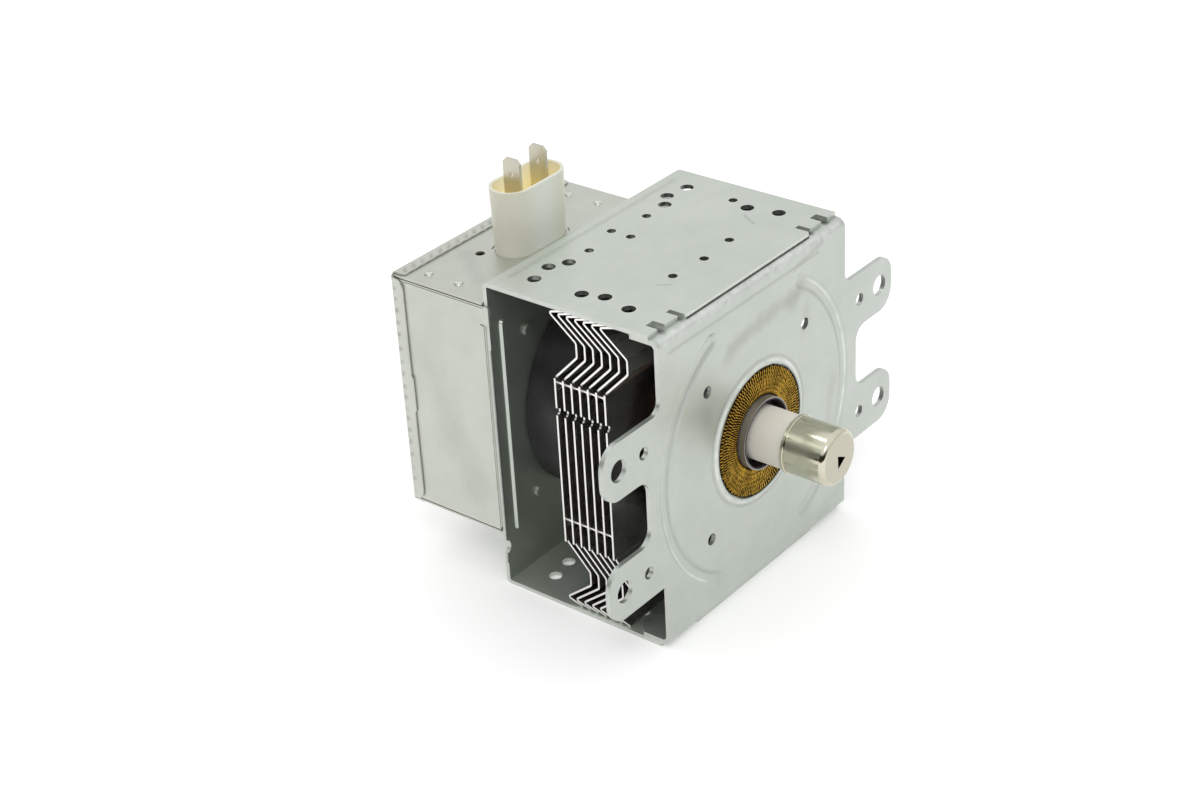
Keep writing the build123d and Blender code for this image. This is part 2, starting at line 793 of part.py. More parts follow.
# Cathode leads: the centre one holds the output hat, the side one the stem hat
cathode_leads = (
    ("centre_lead", 0.0, -stem_pin_x, filament_front),
    ("side_lead", side_lead_x, stem_pin_x, filament_rear + hat_thickness),
)
for name, start_x, pin_x, start_y in cathode_leads:
    with BuildPart() as lead:
        with BuildLine() as lead_route:
            FilletPolyline(
                (start_x, start_y),
                (start_x, stem_bend_start),
                (pin_x, stem_bend_end),
                (pin_x, stem_end + tag_sheet),
                radius=stem_bend_r,
            )
        with BuildSketch(Plane((start_x, start_y, 0), x_dir=(1, 0, 0), z_dir=(0, 1, 0))):
            Circle(cathode_lead_r)
        sweep(path=lead_route.line)
    lead.part.label = name
    export_step(lead.part, f"parts/{name}.step")

# Stem seal cup and ceramic: close the tube behind, and carry the two leads through the yoke
with BuildPart() as stem_seal_cup:
    with BuildSketch():
        outline(
            (seal_flange_r, tube_rear),
            (stem_cup_base_r, tube_rear),
            (stem_cup_r, stem_shelf_y),
            (stem_shelf_r, stem_shelf_y),
            (stem_shelf_r, stem_shelf_y - seal_wall),
            (stem_cup_r - seal_wall, stem_shelf_y - seal_wall),
            (stem_cup_base_r - seal_wall, tube_rear),
            (stem_cup_base_r - seal_wall, shell_rear),
            (seal_flange_r, shell_rear),
        )
    revolve(axis=Axis.Y)
stem_seal_cup.part.label = "stem_seal_cup"
export_step(stem_seal_cup.part, "parts/stem_seal_cup.step")

with BuildPart() as stem_ceramic:
    with BuildSketch(upright(stem_end)):
        Circle(stem_ceramic_r)
        with GridLocations(2 * stem_pin_x, 1, 2, 1):
            Circle(cathode_lead_r + pin_fit, mode=Mode.SUBTRACT)
    extrude(amount=stem_end - stem_shelf_y)
stem_ceramic.part.label = "stem_ceramic"
export_step(stem_ceramic.part, "parts/stem_ceramic.step")

# Stem terminals: two bent tags on the ceramic, one on each lead
with BuildPart() as stem_terminals:
    with BuildSketch(Plane.YZ) as tag_section:
        with BuildLine():
            FilletPolyline(
                (stem_end + tag_sheet / 2, tag_top),
                (stem_end + tag_sheet / 2, -tag_drop),
                (stem_end + tag_reach, -tag_drop),
                radius=tag_sheet,
            )
        trace(line_width=tag_sheet)
    for pin_x in (-stem_pin_x, stem_pin_x):
        with Locations((pin_x, 0, 0)):
            add(extrude(tag_section.sketch, amount=tag_width / 2, both=True, mode=Mode.PRIVATE))
    with BuildSketch(upright(stem_end)):
        with GridLocations(2 * stem_pin_x, 1, 2, 1):
            Circle(cathode_lead_r + pin_fit)
    extrude(amount=-tag_sheet, mode=Mode.SUBTRACT)
stem_terminals.part.label = "stem_terminals"
export_step(stem_terminals.part, "parts/stem_terminals.step")

# Cooling fins: each is pressed on the anode by its drawn collar, steps forwards round the front magnet and
# folds back into a foot under the yoke. The feet nest like shingles. Lanced tabs keep the fins apart.
fin_half = side - fin_inset
foot_slope = math.asin((fin_sheet + fin_foot_air) / fin_pitch)
foot_z = inside_top - foot_gap - fin_sheet / 2 * math.cos(foot_slope)
fin_profile = [
    (fin_hairpin_y - fin_foot_run, foot_z),
    (fin_hairpin_y, foot_z - fin_foot_run * math.tan(foot_slope)),
    (-fin_step, fin_shelf_top_z),
    (-fin_step, fin_shelf_z),
    (0, fin_fold_z),
]
fold_radii = [fin_hairpin_r, fin_fold_r, fin_fold_r, fin_fold_r]
for number in range(fin_count):
    fin_y = shell_front + first_fin_gap + number * fin_pitch
    upper = [(fin_y + forward, z) for forward, z in fin_profile]
    lower = [(y, -z) for y, z in reversed(upper)]
    with BuildPart() as fin:
        with BuildSketch(Plane.YZ):
            with BuildLine():
                FilletPolyline(*upper, *lower, radius=fold_radii + fold_radii[::-1])
            trace(line_width=fin_sheet)
        extrude(amount=fin_half - fin_end_inset, both=True)
        with BuildSketch(upright(fin_y)):
            Rectangle(2 * fin_half, fin_body_height)
        extrude(amount=fin_sheet / 2, both=True)
        with BuildSketch(upright(fin_y - fin_sheet / 2)):
            Circle(anode_r + braze_gap + fin_sheet)
        extrude(amount=collar_gap - fin_pitch)
        with BuildSketch(upright(fin_y - fin_sheet / 2)):
            Circle(anode_r + braze_gap)
            with GridLocations(2 * (fin_half - notch_inset), 1, 2, 1):
                with Locations((0, notch_z)):
                    Circle(notch_r)
        extrude(amount=-fin_pitch, mode=Mode.SUBTRACT)
        with BuildSketch(upright(fin_y)):
            Circle(magnet_r + fin_magnet_gap)
            Rectangle(2 * fin_half, fin_body_height, mode=Mode.SUBTRACT)
        extrude(amount=fin_step + fin_sheet, both=True, mode=Mode.SUBTRACT)
        if number > 0:
            tab_length = fin_pitch - fin_sheet - tab_gap
            tab_x = fin_half - tab_from_side - tab_width / 2
            with BuildSketch(upright(fin_y + fin_sheet / 2)):
                for tab_z in tab_heights:
                    with Locations((-tab_x, tab_z - fin_sheet / 2), (tab_x, tab_z - fin_sheet / 2)):
                        Rectangle(tab_width, tab_length, align=(Align.CENTER, Align.MAX))
            extrude(amount=fin_sheet, mode=Mode.SUBTRACT)
            with BuildSketch(upright(fin_y + fin_sheet / 2)):
                for tab_z in tab_heights:
                    with Locations((-tab_x, tab_z), (tab_x, tab_z)):
                        Rectangle(tab_width, fin_sheet)
            extrude(amount=fin_sheet + tab_length)
    fin.part.label = f"cooling_fin_{number + 1}"
    export_step(fin.part, f"parts/cooling_fin_{number + 1}.step")


def folded_tray(left, right, bottom, top, floor, rim):
    """Fold a cross-shaped blank into a tray, in the part at hand. Its floor lies at y = floor and its walls
    end at y = rim. The top and bottom walls reach over the edges of the side walls, a seam away from them,
    and each corner of the floor is relieved."""
    backwards = 1 if rim > floor else -1
    floor_mid = floor + backwards * tin / 2
    relief = tin_bend + seam
    wall_start = floor + backwards * seam
    with BuildSketch(Plane.YZ.offset((left + right) / 2)) as tall_section:
        with BuildLine() as tall_fold:
            FilletPolyline(
                (rim, top - tin / 2),
                (floor_mid, top - tin / 2),
                (floor_mid, bottom + tin / 2),
                (rim, bottom + tin / 2),
                radius=tin_bend - tin / 2,
            )
        trace(tall_fold.line, line_width=tin)
    extrude(tall_section.sketch, amount=(right - left) / 2 - relief, both=True)
    with BuildSketch(Plane.XY.offset((bottom + top) / 2)) as wide_section:
        with BuildLine() as wide_fold:
            FilletPolyline(
                (left + tin / 2, rim),
                (left + tin / 2, floor_mid),
                (right - tin / 2, floor_mid),
                (right - tin / 2, rim),
                radius=tin_bend - tin / 2,
            )
        trace(wide_fold.line, line_width=tin)
    extrude(wide_section.sketch, amount=(top - bottom) / 2 - relief, both=True)
    for wall_z in (bottom, top - tin):
        with BuildSketch(Plane.XY.offset(wall_z)) as wall:
            outline((left, wall_start), (right, wall_start), (right, rim), (left, rim))
        extrude(wall.sketch, amount=tin)
    low, high = bottom + tin + seam, top - tin - seam
    for wall_x in (left, right - tin):
        with BuildSketch(Plane.YZ.offset(wall_x)) as wall:
            outline((wall_start, low), (rim, low), (rim, high), (wall_start, high))
        extrude(wall.sketch, amount=tin)


# Filter box: its front wall lies on the yoke's back, and a tab of its left wall grips the yoke's edge. The
# lid closes over its rim.
grip_top = box_top - tin - seam
grip_bottom = grip_top - grip_height
box_rim = box_rear - (tin_bend - tin)  # clear of the lid's corner bends
rivet_taper = math.degrees(math.atan((rivet_r - rivet_top_r) / (tin / 2 + rivet_height)))
with BuildPart() as filter_box:
    folded_tray(box_left, box_right, box_bottom, box_top, yoke_depth, box_rim)
    with BuildSketch(Plane.XY.offset(grip_bottom - seam)):
        with Locations((box_left, yoke_depth)):
            Rectangle(tin_bend + seam, tin_bend + seam, align=(Align.MIN, Align.MIN))
    extrude(amount=grip_height + seam, mode=Mode.SUBTRACT)
    with BuildSketch(Plane.XY.offset(grip_bottom)):
        with Locations((box_left, yoke_depth - grip_reach)):
            Rectangle(tin, grip_reach + tin_bend + 2 * seam, align=(Align.MIN, Align.MIN))
    extrude(amount=grip_height)
    with BuildSketch(Plane.XY.offset(box_top - tin / 2)):
        for x in (-rivet_x, rivet_x):
            for y in (rivet_y - rivet_pitch / 2, rivet_y + rivet_pitch / 2):
                with Locations((box_left + box_width / 2 + rivet_middle + x, yoke_depth + y)):
                    Circle(rivet_r)
    extrude(amount=tin / 2 + rivet_height, taper=rivet_taper)
    with BuildSketch(Plane.XY.offset(box_top - tin)):
        with Locations((test_hole_x, yoke_depth + test_hole_y)):
            Circle(test_hole_r)
        with Locations((block_x, block_centre_y)):
            SlotOverall(shroud_length + 2 * shroud_fit, shroud_width + 2 * shroud_fit)
        for end, angle in slit_places:
            with Locations((block_x + end * (shroud_length - shroud_width) / 2, block_centre_y)):
                with PolarLocations(shroud_width / 2 + slit_from_foot, 1, start_angle=angle):
                    Rectangle(slit_width, slit_length)
    extrude(amount=tin, mode=Mode.SUBTRACT)
    with BuildSketch(upright(yoke_depth)):
        Circle(stem_window_r)
    extrude(amount=-tin, mode=Mode.SUBTRACT)
filter_box.part.label = "filter_box"
export_step(filter_box.part, "parts/filter_box.step")

lid_edge = tin + lid_fit
with BuildPart() as filter_box_lid:
    folded_tray(
        box_left - lid_edge,
        box_right + lid_edge,
        box_bottom - lid_edge,
        box_top + lid_edge,
        box_rear + tin,
        box_rear + tin - lid_flange,
    )
filter_box_lid.part.label = "filter_box_lid"
export_step(filter_box_lid.part, "parts/filter_box_lid.step")

# Shroud: moulded, tapered and open at the top, with a floor that the two blades pass through
shroud_top = shroud_base + shroud_height
shroud_growth = 2 * shroud_height * math.tan(math.radians(shroud_taper))
with BuildPart() as terminal_block:
    with BuildSketch(Plane((block_x, block_centre_y, shroud_base))):
        SlotOverall(shroud_length, shroud_width)
    extrude(amount=shroud_height, taper=-shroud_taper)
    with BuildSketch(Plane((block_x, block_centre_y, shroud_top), z_dir=(0, 0, -1))):
        SlotOverall(
            shroud_length + shroud_growth - 2 * shroud_wall,
            shroud_width + shroud_growth - 2 * shroud_wall,
        )
    extrude(amount=shroud_height - shroud_floor, taper=shroud_taper, mode=Mode.SUBTRACT)
    with BuildSketch(Plane((block_x, block_centre_y, blade_base))):
        with GridLocations(blade_spacing, 1, 2, 1):
            Rectangle(blade_thickness + 2 * blade_fit, blade_width + 2 * blade_fit)
    extrude(amount=shroud_floor, mode=Mode.SUBTRACT)
    with BuildSketch(Plane((block_x, block_centre_y, shroud_base))):
        with GridLocations(blade_spacing, 1, 2, 1):
            Circle(rod_r + rod_fit)
    extrude(amount=blade_seat, mode=Mode.SUBTRACT)
terminal_block.part.label = "terminal_block"
export_step(terminal_block.part, "parts/terminal_block.step")

# Blades: each is one piece with the rod that runs down through the capacitor
for hand, blade_x in blade_places.items():
    with BuildPart() as blade:
        with BuildSketch(Plane.YZ.offset(blade_x - blade_thickness / 2)) as blade_face:
            with Locations((block_centre_y, blade_base)):
                Rectangle(blade_width, blade_height, align=(Align.CENTER, Align.MIN))
            chamfer(blade_face.vertices().group_by(Axis.Y)[-1], blade_chamfer)
            with Locations((block_centre_y, blade_base + blade_height - blade_hole_drop)):
                Circle(blade_hole_r, mode=Mode.SUBTRACT)
        extrude(amount=blade_thickness)
        with BuildSketch(Plane((blade_x, block_centre_y, rod_end))):
            Circle(rod_r)
        extrude(amount=rod_length)
    blade.part.label = f"terminal_blade_{hand}"
    export_step(blade.part, f"parts/terminal_blade_{hand}.step")

# Capacitor: its metal plate lies under the box's top wall and carries the ceramic body
with BuildPart() as capacitor_flange:
    with BuildSketch(Plane((block_x, block_centre_y, capacitor_top))):
        RectangleRounded(capacitor_plate_length, capacitor_plate_width, capacitor_plate_corner_r)
        SlotOverall(capacitor_window_length, capacitor_window_width, mode=Mode.SUBTRACT)
    extrude(amount=capacitor_plate)
capacitor_flange.part.label = "capacitor_flange"
export_step(capacitor_flange.part, "parts/capacitor_flange.step")

with BuildPart() as capacitor_body:
    with BuildSketch(Plane((block_x, block_centre_y, capacitor_bottom))):
        SlotOverall(capacitor_length, capacitor_width)
        with GridLocations(blade_spacing, 1, 2, 1):
            Circle(capacitor_bore_r, mode=Mode.SUBTRACT)
    extrude(amount=capacitor_thickness)
capacitor_body.part.label = "capacitor_body"
export_step(capacitor_body.part, "parts/capacitor_body.step")

with BuildPart() as capacitor_bushing:
    with BuildSketch(Plane((block_x, block_centre_y, capacitor_bottom))):
        SlotOverall(capacitor_length, capacitor_width)
    extrude(amount=-bushing_plate)
    with BuildSketch(Plane((block_x, block_centre_y, capacitor_bottom))):
        with GridLocations(blade_spacing, 1, 2, 1):
            Circle(bushing_tube_r)
    extrude(amount=-bushing_plate - bushing_tube)
    with BuildSketch(Plane((block_x, block_centre_y, capacitor_bottom))):
        with GridLocations(blade_spacing, 1, 2, 1):
            Circle(rod_r + rod_fit)
    extrude(amount=-bushing_plate - bushing_tube, mode=Mode.SUBTRACT)
capacitor_bushing.part.label = "capacitor_bushing"
export_step(capacitor_bushing.part, "parts/capacitor_bushing.step")

# Chokes: close-wound coils on ferrite rods. Each tail rises to a blade's rod or reaches a stem terminal.
winding_r = choke_core_r + choke_core_fit + choke_wire_r
winding_length = 2 * choke_wire_r * choke_turns
winding_top = rod_end - choke_tail
winding_bottom = winding_top - winding_length
choke_y = block_centre_y + winding_r
tail_z = winding_bottom - choke_tail
tag_end_y = stem_end + tag_reach - 2 * choke_wire_r
for hand, blade_x in blade_places.items():
    pin_x = math.copysign(stem_pin_x, blade_x - block_x)
    with BuildPart() as coil:
        with BuildSketch(Plane((blade_x, choke_y, 0), x_dir=(1, 0, 0), z_dir=(0, -1, 0))):
            ridges = []
            for turn in range(choke_turns):
                turn_z = winding_bottom + 2 * choke_wire_r * turn
                ridges.append((winding_r + choke_wire_r / 2, turn_z))
                ridges.append((winding_r + choke_wire_r, turn_z + choke_wire_r))
            ridges.append((winding_r + choke_wire_r / 2, winding_top))
            inner_edge = winding_r - choke_wire_r
            outline((inner_edge, winding_bottom), *ridges, (inner_edge, winding_top))
        revolve(axis=Axis((blade_x, choke_y, 0), (0, 0, 1)))
        with BuildSketch(Plane((blade_x, block_centre_y, winding_top - choke_wire_r))):
            Circle(choke_wire_r)
        extrude(amount=choke_tail + choke_wire_r)
        with BuildLine() as tail:
            FilletPolyline(
                (blade_x, block_centre_y, winding_bottom + choke_wire_r),
                (blade_x, block_centre_y, tail_z),
                (pin_x, tag_end_y, tail_z),
                (pin_x, tag_end_y, tag_sheet / 2 - tag_drop),
                radius=choke_tail_bend_r,
            )
        with BuildSketch(Plane((blade_x, block_centre_y, winding_bottom + choke_wire_r), z_dir=(0, 0, -1))):
            Circle(choke_wire_r)
        sweep(path=tail.line)
    coil.part.label = f"choke_coil_{hand}"
    export_step(coil.part, f"parts/choke_coil_{hand}.step")

    with BuildPart() as core:
        with BuildSketch(Plane((blade_x, choke_y, winding_bottom - choke_core_overhang))):
            Circle(choke_core_r)
        extrude(amount=winding_length + 2 * choke_core_overhang)
    core.part.label = f"choke_core_{hand}"
    export_step(core.part, f"parts/choke_core_{hand}.step")
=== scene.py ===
import json
import math

import bpy
import numpy as np
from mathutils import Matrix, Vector


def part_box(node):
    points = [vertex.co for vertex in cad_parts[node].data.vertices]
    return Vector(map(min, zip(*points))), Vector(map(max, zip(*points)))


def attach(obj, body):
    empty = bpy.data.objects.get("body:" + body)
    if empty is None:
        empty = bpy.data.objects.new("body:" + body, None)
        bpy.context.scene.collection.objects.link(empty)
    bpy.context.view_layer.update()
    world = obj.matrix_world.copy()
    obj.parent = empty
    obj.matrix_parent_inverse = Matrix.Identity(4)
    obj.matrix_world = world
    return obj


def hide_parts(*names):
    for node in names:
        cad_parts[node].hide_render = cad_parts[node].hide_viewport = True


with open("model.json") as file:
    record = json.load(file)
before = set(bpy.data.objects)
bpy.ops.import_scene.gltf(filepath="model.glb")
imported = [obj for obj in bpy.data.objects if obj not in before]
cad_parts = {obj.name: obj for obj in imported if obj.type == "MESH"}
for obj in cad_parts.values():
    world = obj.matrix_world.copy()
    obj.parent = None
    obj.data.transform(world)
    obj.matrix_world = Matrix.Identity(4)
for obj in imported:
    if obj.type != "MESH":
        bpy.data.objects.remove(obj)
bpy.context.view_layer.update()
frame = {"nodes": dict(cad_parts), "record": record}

# Lengths are metres in the part's own frame: the tube's axis is Y, the antenna points to -Y, the mounting
# face is y = 0 and +Z is up.
MM = 0.001
ALONG_X = (1.0, 0.0, 0.0)
ALONG_Y = (0.0, 1.0, 0.0)
ALONG_Z = (0.0, 0.0, 1.0)
nodes = frame["nodes"]
chance = np.random.default_rng(7)


def place(tree, kind, inputs=None, **settings):
    """Add a shader node, set its properties, and set or link its inputs."""
    node = tree.nodes.new(kind)
    for name, value in settings.items():
        setattr(node, name, value)
    for name, value in (inputs or {}).items():
        socket = node.inputs[name]
        if isinstance(value, bpy.types.NodeSocket):
            tree.links.new(value, socket)
        else:
            socket.default_value = value
    return node


def arithmetic(tree, operation, first, second=0.0, third=0.0):
    """A math node's result. Each operand is a number or a socket."""
    node = place(tree, "ShaderNodeMath", {0: first, 1: second, 2: third}, operation=operation)
    return node.outputs["Value"]


def combined(tree, operation, first, second=(0.0, 0.0, 0.0)):
    """A vector from one or two vectors. Each operand is three numbers or a socket."""
    node = place(tree, "ShaderNodeVectorMath", {0: first, 1: second}, operation=operation)
    return node.outputs["Vector"]


def measured(tree, operation, first, second=(0.0, 0.0, 0.0)):
    """A length, distance or dot product of vectors. Each operand is three numbers or a socket."""
    node = place(tree, "ShaderNodeVectorMath", {0: first, 1: second}, operation=operation)
    return node.outputs["Value"]


def coordinate(tree, vector, axis):
    """One coordinate of a vector."""
    return place(tree, "ShaderNodeSeparateXYZ", {"Vector": vector}).outputs[axis]


def radius_from_axis(tree, where):
    """How far a place is from the tube's axis."""
    return measured(tree, "LENGTH", combined(tree, "MULTIPLY", where, (1.0, 0.0, 1.0)))


def spread(tree, value, from_low, from_high, to_low, to_high):
    """Map a value smoothly from one range to another, held at both ends."""
    ranges = {
        "Value": value,
        "From Min": from_low,
        "From Max": from_high,
        "To Min": to_low,
        "To Max": to_high,
    }
    return place(tree, "ShaderNodeMapRange", ranges, interpolation_type="SMOOTHSTEP").outputs["Result"]


def blend_colors(tree, mask, low, high):
    """Mix two colours by a mask. Each colour is three numbers or a socket."""
    node = tree.nodes.new("ShaderNodeMix")
    node.data_type = "RGBA"
    for socket, value in ((node.inputs[0], mask), (node.inputs[6], low), (node.inputs[7], high)):
        if isinstance(value, bpy.types.NodeSocket):
            tree.links.new(value, socket)
        elif isinstance(value, tuple):
            socket.default_value = (*value, 1.0)
        else:
            socket.default_value = value
    return node.outputs[2]


def noise(tree, vector, scale, detail, output="Fac"):
    """A noise over a vector, between 0 and 1."""
    node = place(tree, "ShaderNodeTexNoise", {"Vector": vector, "Scale": scale, "Detail": detail})
    return node.outputs[output]


def effect(name, inputs, outputs):
    """Start a node group. inputs maps each name to (kind, default); outputs maps each name to its kind."""
    kinds = {"value": "NodeSocketFloat", "vector": "NodeSocketVector"}
    tree = bpy.data.node_groups.new(name, "ShaderNodeTree")
    for socket_name, (kind, default) in inputs.items():
        socket = tree.interface.new_socket(socket_name, in_out="INPUT", socket_type=kinds[kind])
        if default is not None:
            socket.default_value = default
    for socket_name, kind in outputs.items():
        tree.interface.new_socket(socket_name, in_out="OUTPUT", socket_type=kinds[kind])
    return tree, tree.nodes.new("NodeGroupInput").outputs, tree.nodes.new("NodeGroupOutput").inputs


def make_clouds():
    """Soft unevenness: a noise of the given size, spread between Low and High."""
    inputs = {
        "Vector": ("vector", None),
        "Size": ("value", 0.02),
        "Low": ("value", 0.0),
        "High": ("value", 1.0),
    }
    tree, given, result = effect("clouds", inputs, {"Value": "value"})
    scale = arithmetic(tree, "DIVIDE", 1.0, given["Size"])
    value = spread(tree, noise(tree, given["Vector"], scale, 3.0), 0.3, 0.7, given["Low"], given["High"])
    tree.links.new(value, result["Value"])
    return tree


def make_streaks():
    """Fine lines along one axis, as rolling and drawing leave them. Stretch divides the pattern's fineness
    along each axis."""
    inputs = {"Vector": ("vector", None), "Stretch": ("vector", (1.0, 1.0, 1.0)), "Size": ("value", 0.0005)}
    tree, given, result = effect("streaks", inputs, {"Value": "value"})
    stretched = combined(tree, "DIVIDE", given["Vector"], given["Stretch"])
    scale = arithmetic(tree, "DIVIDE", 1.0, given["Size"])
    tree.links.new(noise(tree, stretched, scale, 4.0), result["Value"])
    return tree


def some_cells(tree, vector, spacing, reach, channel, amount):
    """Marks in the cells of a grid, fading out at reach from each cell's point, in a share of the cells."""
    scale = arithmetic(tree, "DIVIDE", 1.0, spacing)
    cells = place(tree, "ShaderNodeTexVoronoi", {"Vector": vector, "Scale": scale})
    mark = spread(tree, cells.outputs["Distance"], 0.0, reach, 1.0, 0.0)
    draw = place(tree, "ShaderNodeSeparateColor", {"Color": cells.outputs["Color"]}).outputs[channel]
    return arithmetic(tree, "MULTIPLY", mark, arithmetic(tree, "LESS_THAN", draw, amount))


def make_specks():
    """Small round marks, one in some of the cells of a grid. Amount is the share of cells with a mark."""
    inputs = {
        "Vector": ("vector", None),
        "Spacing": ("value", 0.006),
        "Radius": ("value", 0.05),
        "Amount": ("value", 0.3),
    }
    tree, given, result = effect("specks", inputs, {"Mask": "value"})
    marks = some_cells(tree, given["Vector"], given["Spacing"], given["Radius"], "Red", given["Amount"])
    tree.links.new(marks, result["Mask"])
    return tree


def make_scratches():
    """Short thin lines, one in some cells of a grid that is long along one axis and slightly bent."""
    inputs = {
        "Vector": ("vector", None),
        "Stretch": ("vector", (1.0, 1.0, 1.0)),
        "Spacing": ("value", 0.004),
        "Amount": ("value", 0.2),
    }
    tree, given, result = effect("scratches", inputs, {"Mask": "value"})
    wander = noise(tree, given["Vector"], 60.0, 1.0, output="Color")
    bent = combined(tree, "ADD", given["Vector"], combined(tree, "MULTIPLY", wander, (0.004, 0.004, 0.004)))
    stretched = combined(tree, "DIVIDE", bent, given["Stretch"])
    marks = some_cells(tree, stretched, given["Spacing"], 0.07, "Green", given["Amount"])
    tree.links.new(marks, result["Mask"])
    return tree


def make_facing():
    """A mask of the faces that look along Direction or against it, such as a sheet's cut edges."""
    tree, given, result = effect("facing", {"Direction": ("vector", ALONG_X)}, {"Mask": "value"})
    normal = place(tree, "ShaderNodeNewGeometry").outputs["Normal"]
    along = measured(tree, "DOT_PRODUCT", normal, given["Direction"])
    mask = spread(tree, arithmetic(tree, "ABSOLUTE", along), 0.9, 0.98, 0.0, 1.0)
    tree.links.new(mask, result["Mask"])
    return tree


def make_stain():
    """A soft mark round a line: its middle is Centre, it runs Reach each way along Along, and it fades out
    at Width from the line. A noise makes its border uneven."""
    inputs = {
        "Vector": ("vector", None),
        "Centre": ("vector", (0.0, 0.0, 0.0)),
        "Along": ("vector", ALONG_X),
        "Reach": ("value", 0.01),
        "Width": ("value", 0.003),
        "Ragged": ("value", 1.0),
    }
    tree, given, result = effect("stain", inputs, {"Mask": "value"})
    offset = combined(tree, "SUBTRACT", given["Vector"], given["Centre"])
    along = measured(tree, "DOT_PRODUCT", offset, given["Along"])
    back = arithmetic(tree, "MULTIPLY", given["Reach"], -1.0)
    held = arithmetic(tree, "MAXIMUM", arithmetic(tree, "MINIMUM", along, given["Reach"]), back)
    nearest = place(tree, "ShaderNodeVectorMath", {0: given["Along"], "Scale": held}, operation="SCALE")
    gap = measured(tree, "DISTANCE", offset, nearest.outputs["Vector"])
    fineness = arithmetic(tree, "DIVIDE", 0.8, given["Width"])
    wobble = arithmetic(tree, "SUBTRACT", noise(tree, given["Vector"], fineness, 3.0), 0.5)
    wobble = arithmetic(tree, "MULTIPLY", wobble, given["Ragged"])
    uneven = arithmetic(tree, "MULTIPLY_ADD", wobble, given["Width"], gap)
    tree.links.new(spread(tree, uneven, 0.0, given["Width"], 1.0, 0.0), result["Mask"])
    return tree


def make_ring():
    """A soft line round the Y axis at Radius, of half width Width, where the height stays below Limit. A
    noise makes its strength uneven."""
    inputs = {
        "Vector": ("vector", None),
        "Radius": ("value", 0.02),
        "Width": ("value", 0.0005),
        "Limit": ("value", 0.05),
    }
    tree, given, result = effect("ring", inputs, {"Mask": "value"})
    from_line = arithmetic(tree, "SUBTRACT", radius_from_axis(tree, given["Vector"]), given["Radius"])
    line = spread(tree, arithmetic(tree, "ABSOLUTE", from_line), 0.0, given["Width"], 1.0, 0.0)
    height = arithmetic(tree, "ABSOLUTE", coordinate(tree, given["Vector"], "Z"))
    ends = spread(tree, height, arithmetic(tree, "MULTIPLY", given["Limit"], 0.93), given["Limit"], 1.0, 0.0)
    uneven = spread(tree, noise(tree, given["Vector"], 220.0, 2.0), 0.35, 0.6, 0.45, 1.0)
    mask = arithmetic(tree, "MULTIPLY", arithmetic(tree, "MULTIPLY", line, ends), uneven)
    tree.links.new(mask, result["Mask"])
    return tree


CLOUDS = make_clouds()
STREAKS = make_streaks()
SPECKS = make_specks()
SCRATCHES = make_scratches()
FACING = make_facing()
STAIN = make_stain()
RING = make_ring()


def use(tree, group, output, **inputs):
    """Place a node group with these inputs and give one of its outputs."""
    return place(tree, "ShaderNodeGroup", inputs, node_tree=group).outputs[output]


def clouds(tree, where, size, low=0.0, high=1.0):
    return use(tree, CLOUDS, "Value", Vector=where, Size=size, Low=low, High=high)


def streaks(tree, where, stretch, size):
    return use(tree, STREAKS, "Value", Vector=where, Stretch=stretch, Size=size)


def specks(tree, where, spacing, radius, amount):
    return use(tree, SPECKS, "Mask", Vector=where, Spacing=spacing, Radius=radius, Amount=amount)


def facing(tree, direction):
    return use(tree, FACING, "Mask", Direction=direction)


def faded(tree, mask, share):
    """A mask at a share of its strength."""
    return arithmetic(tree, "MULTIPLY", mask, share)


def start_material(name, metallic=0.0):
    """A new material: its node tree, its shader, and the piece's own coordinates."""
    material = bpy.data.materials.new(name)
    material.use_nodes = True
    tree = material.node_tree
    tree.nodes.clear()
    shader = place(tree, "ShaderNodeBsdfPrincipled", {"Metallic": metallic})
    place(tree, "ShaderNodeOutputMaterial", {"Surface": shader.outputs["BSDF"]})
    where = place(tree, "ShaderNodeTexCoord").outputs["Object"]
    return material, tree, shader, where


def color_and_gloss(tree, shader, tone, rough):
    """Give the shader its colour and its roughness."""
    tree.links.new(tone, shader.inputs["Base Color"])
    tree.links.new(rough, shader.inputs["Roughness"])


def bump(tree, shader, height, strength, distance):
    """Raise the shader's surface by a height between 0 and 1."""
    node = place(tree, "ShaderNodeBump", {"Height": height, "Strength": strength, "Distance": distance})
    tree.links.new(node.outputs["Normal"], shader.inputs["Normal"])


# dirt, and painted shade where it marks the dark side of the plate's reliefs
DIRT_AND_SHADE = (0.36, 0.38, 0.35)
# painted shade for gaps, slots, holes, seams and the shaded side of reliefs
PAINTED_SHADE = (0.02, 0.02, 0.018)
# painted highlight for bright edges, folds and the lit side of reliefs
PAINTED_HIGHLIGHT = (0.86, 0.89, 0.85)
SHEARED_ZINC = (0.70, 0.71, 0.67)
ZINC_SPECK = (0.10, 0.10, 0.09)
ZINC_SCRATCH = (0.24, 0.25, 0.23)


def stained(tree, where, tone, stains):
    """A tone with soft marks on it: dirt, painted shade and painted highlights."""
    for centre, along, reach, width, share, mark_tone in stains:
        mark = use(
            tree,
            STAIN,
            "Mask",
            Vector=where,
            Centre=tuple(v * MM for v in centre),
            Along=along,
            Reach=reach * MM,
            Width=width * MM,
            Ragged=0.5 if mark_tone == PAINTED_SHADE else 1.2,
        )
        tone = blend_colors(tree, faded(tree, mark, share), tone, mark_tone)
    return tone


def ringed(tree, where, tone, rings):
    """A tone with soft lines of painted shade and painted highlights round the tube's axis."""
    for radius, width, limit, share, mark_tone in rings:
        mark = use(tree, RING, "Mask", Vector=where, Radius=radius * MM, Width=width * MM, Limit=limit * MM)
        tone = blend_colors(tree, faded(tree, mark, share), tone, mark_tone)
    return tone


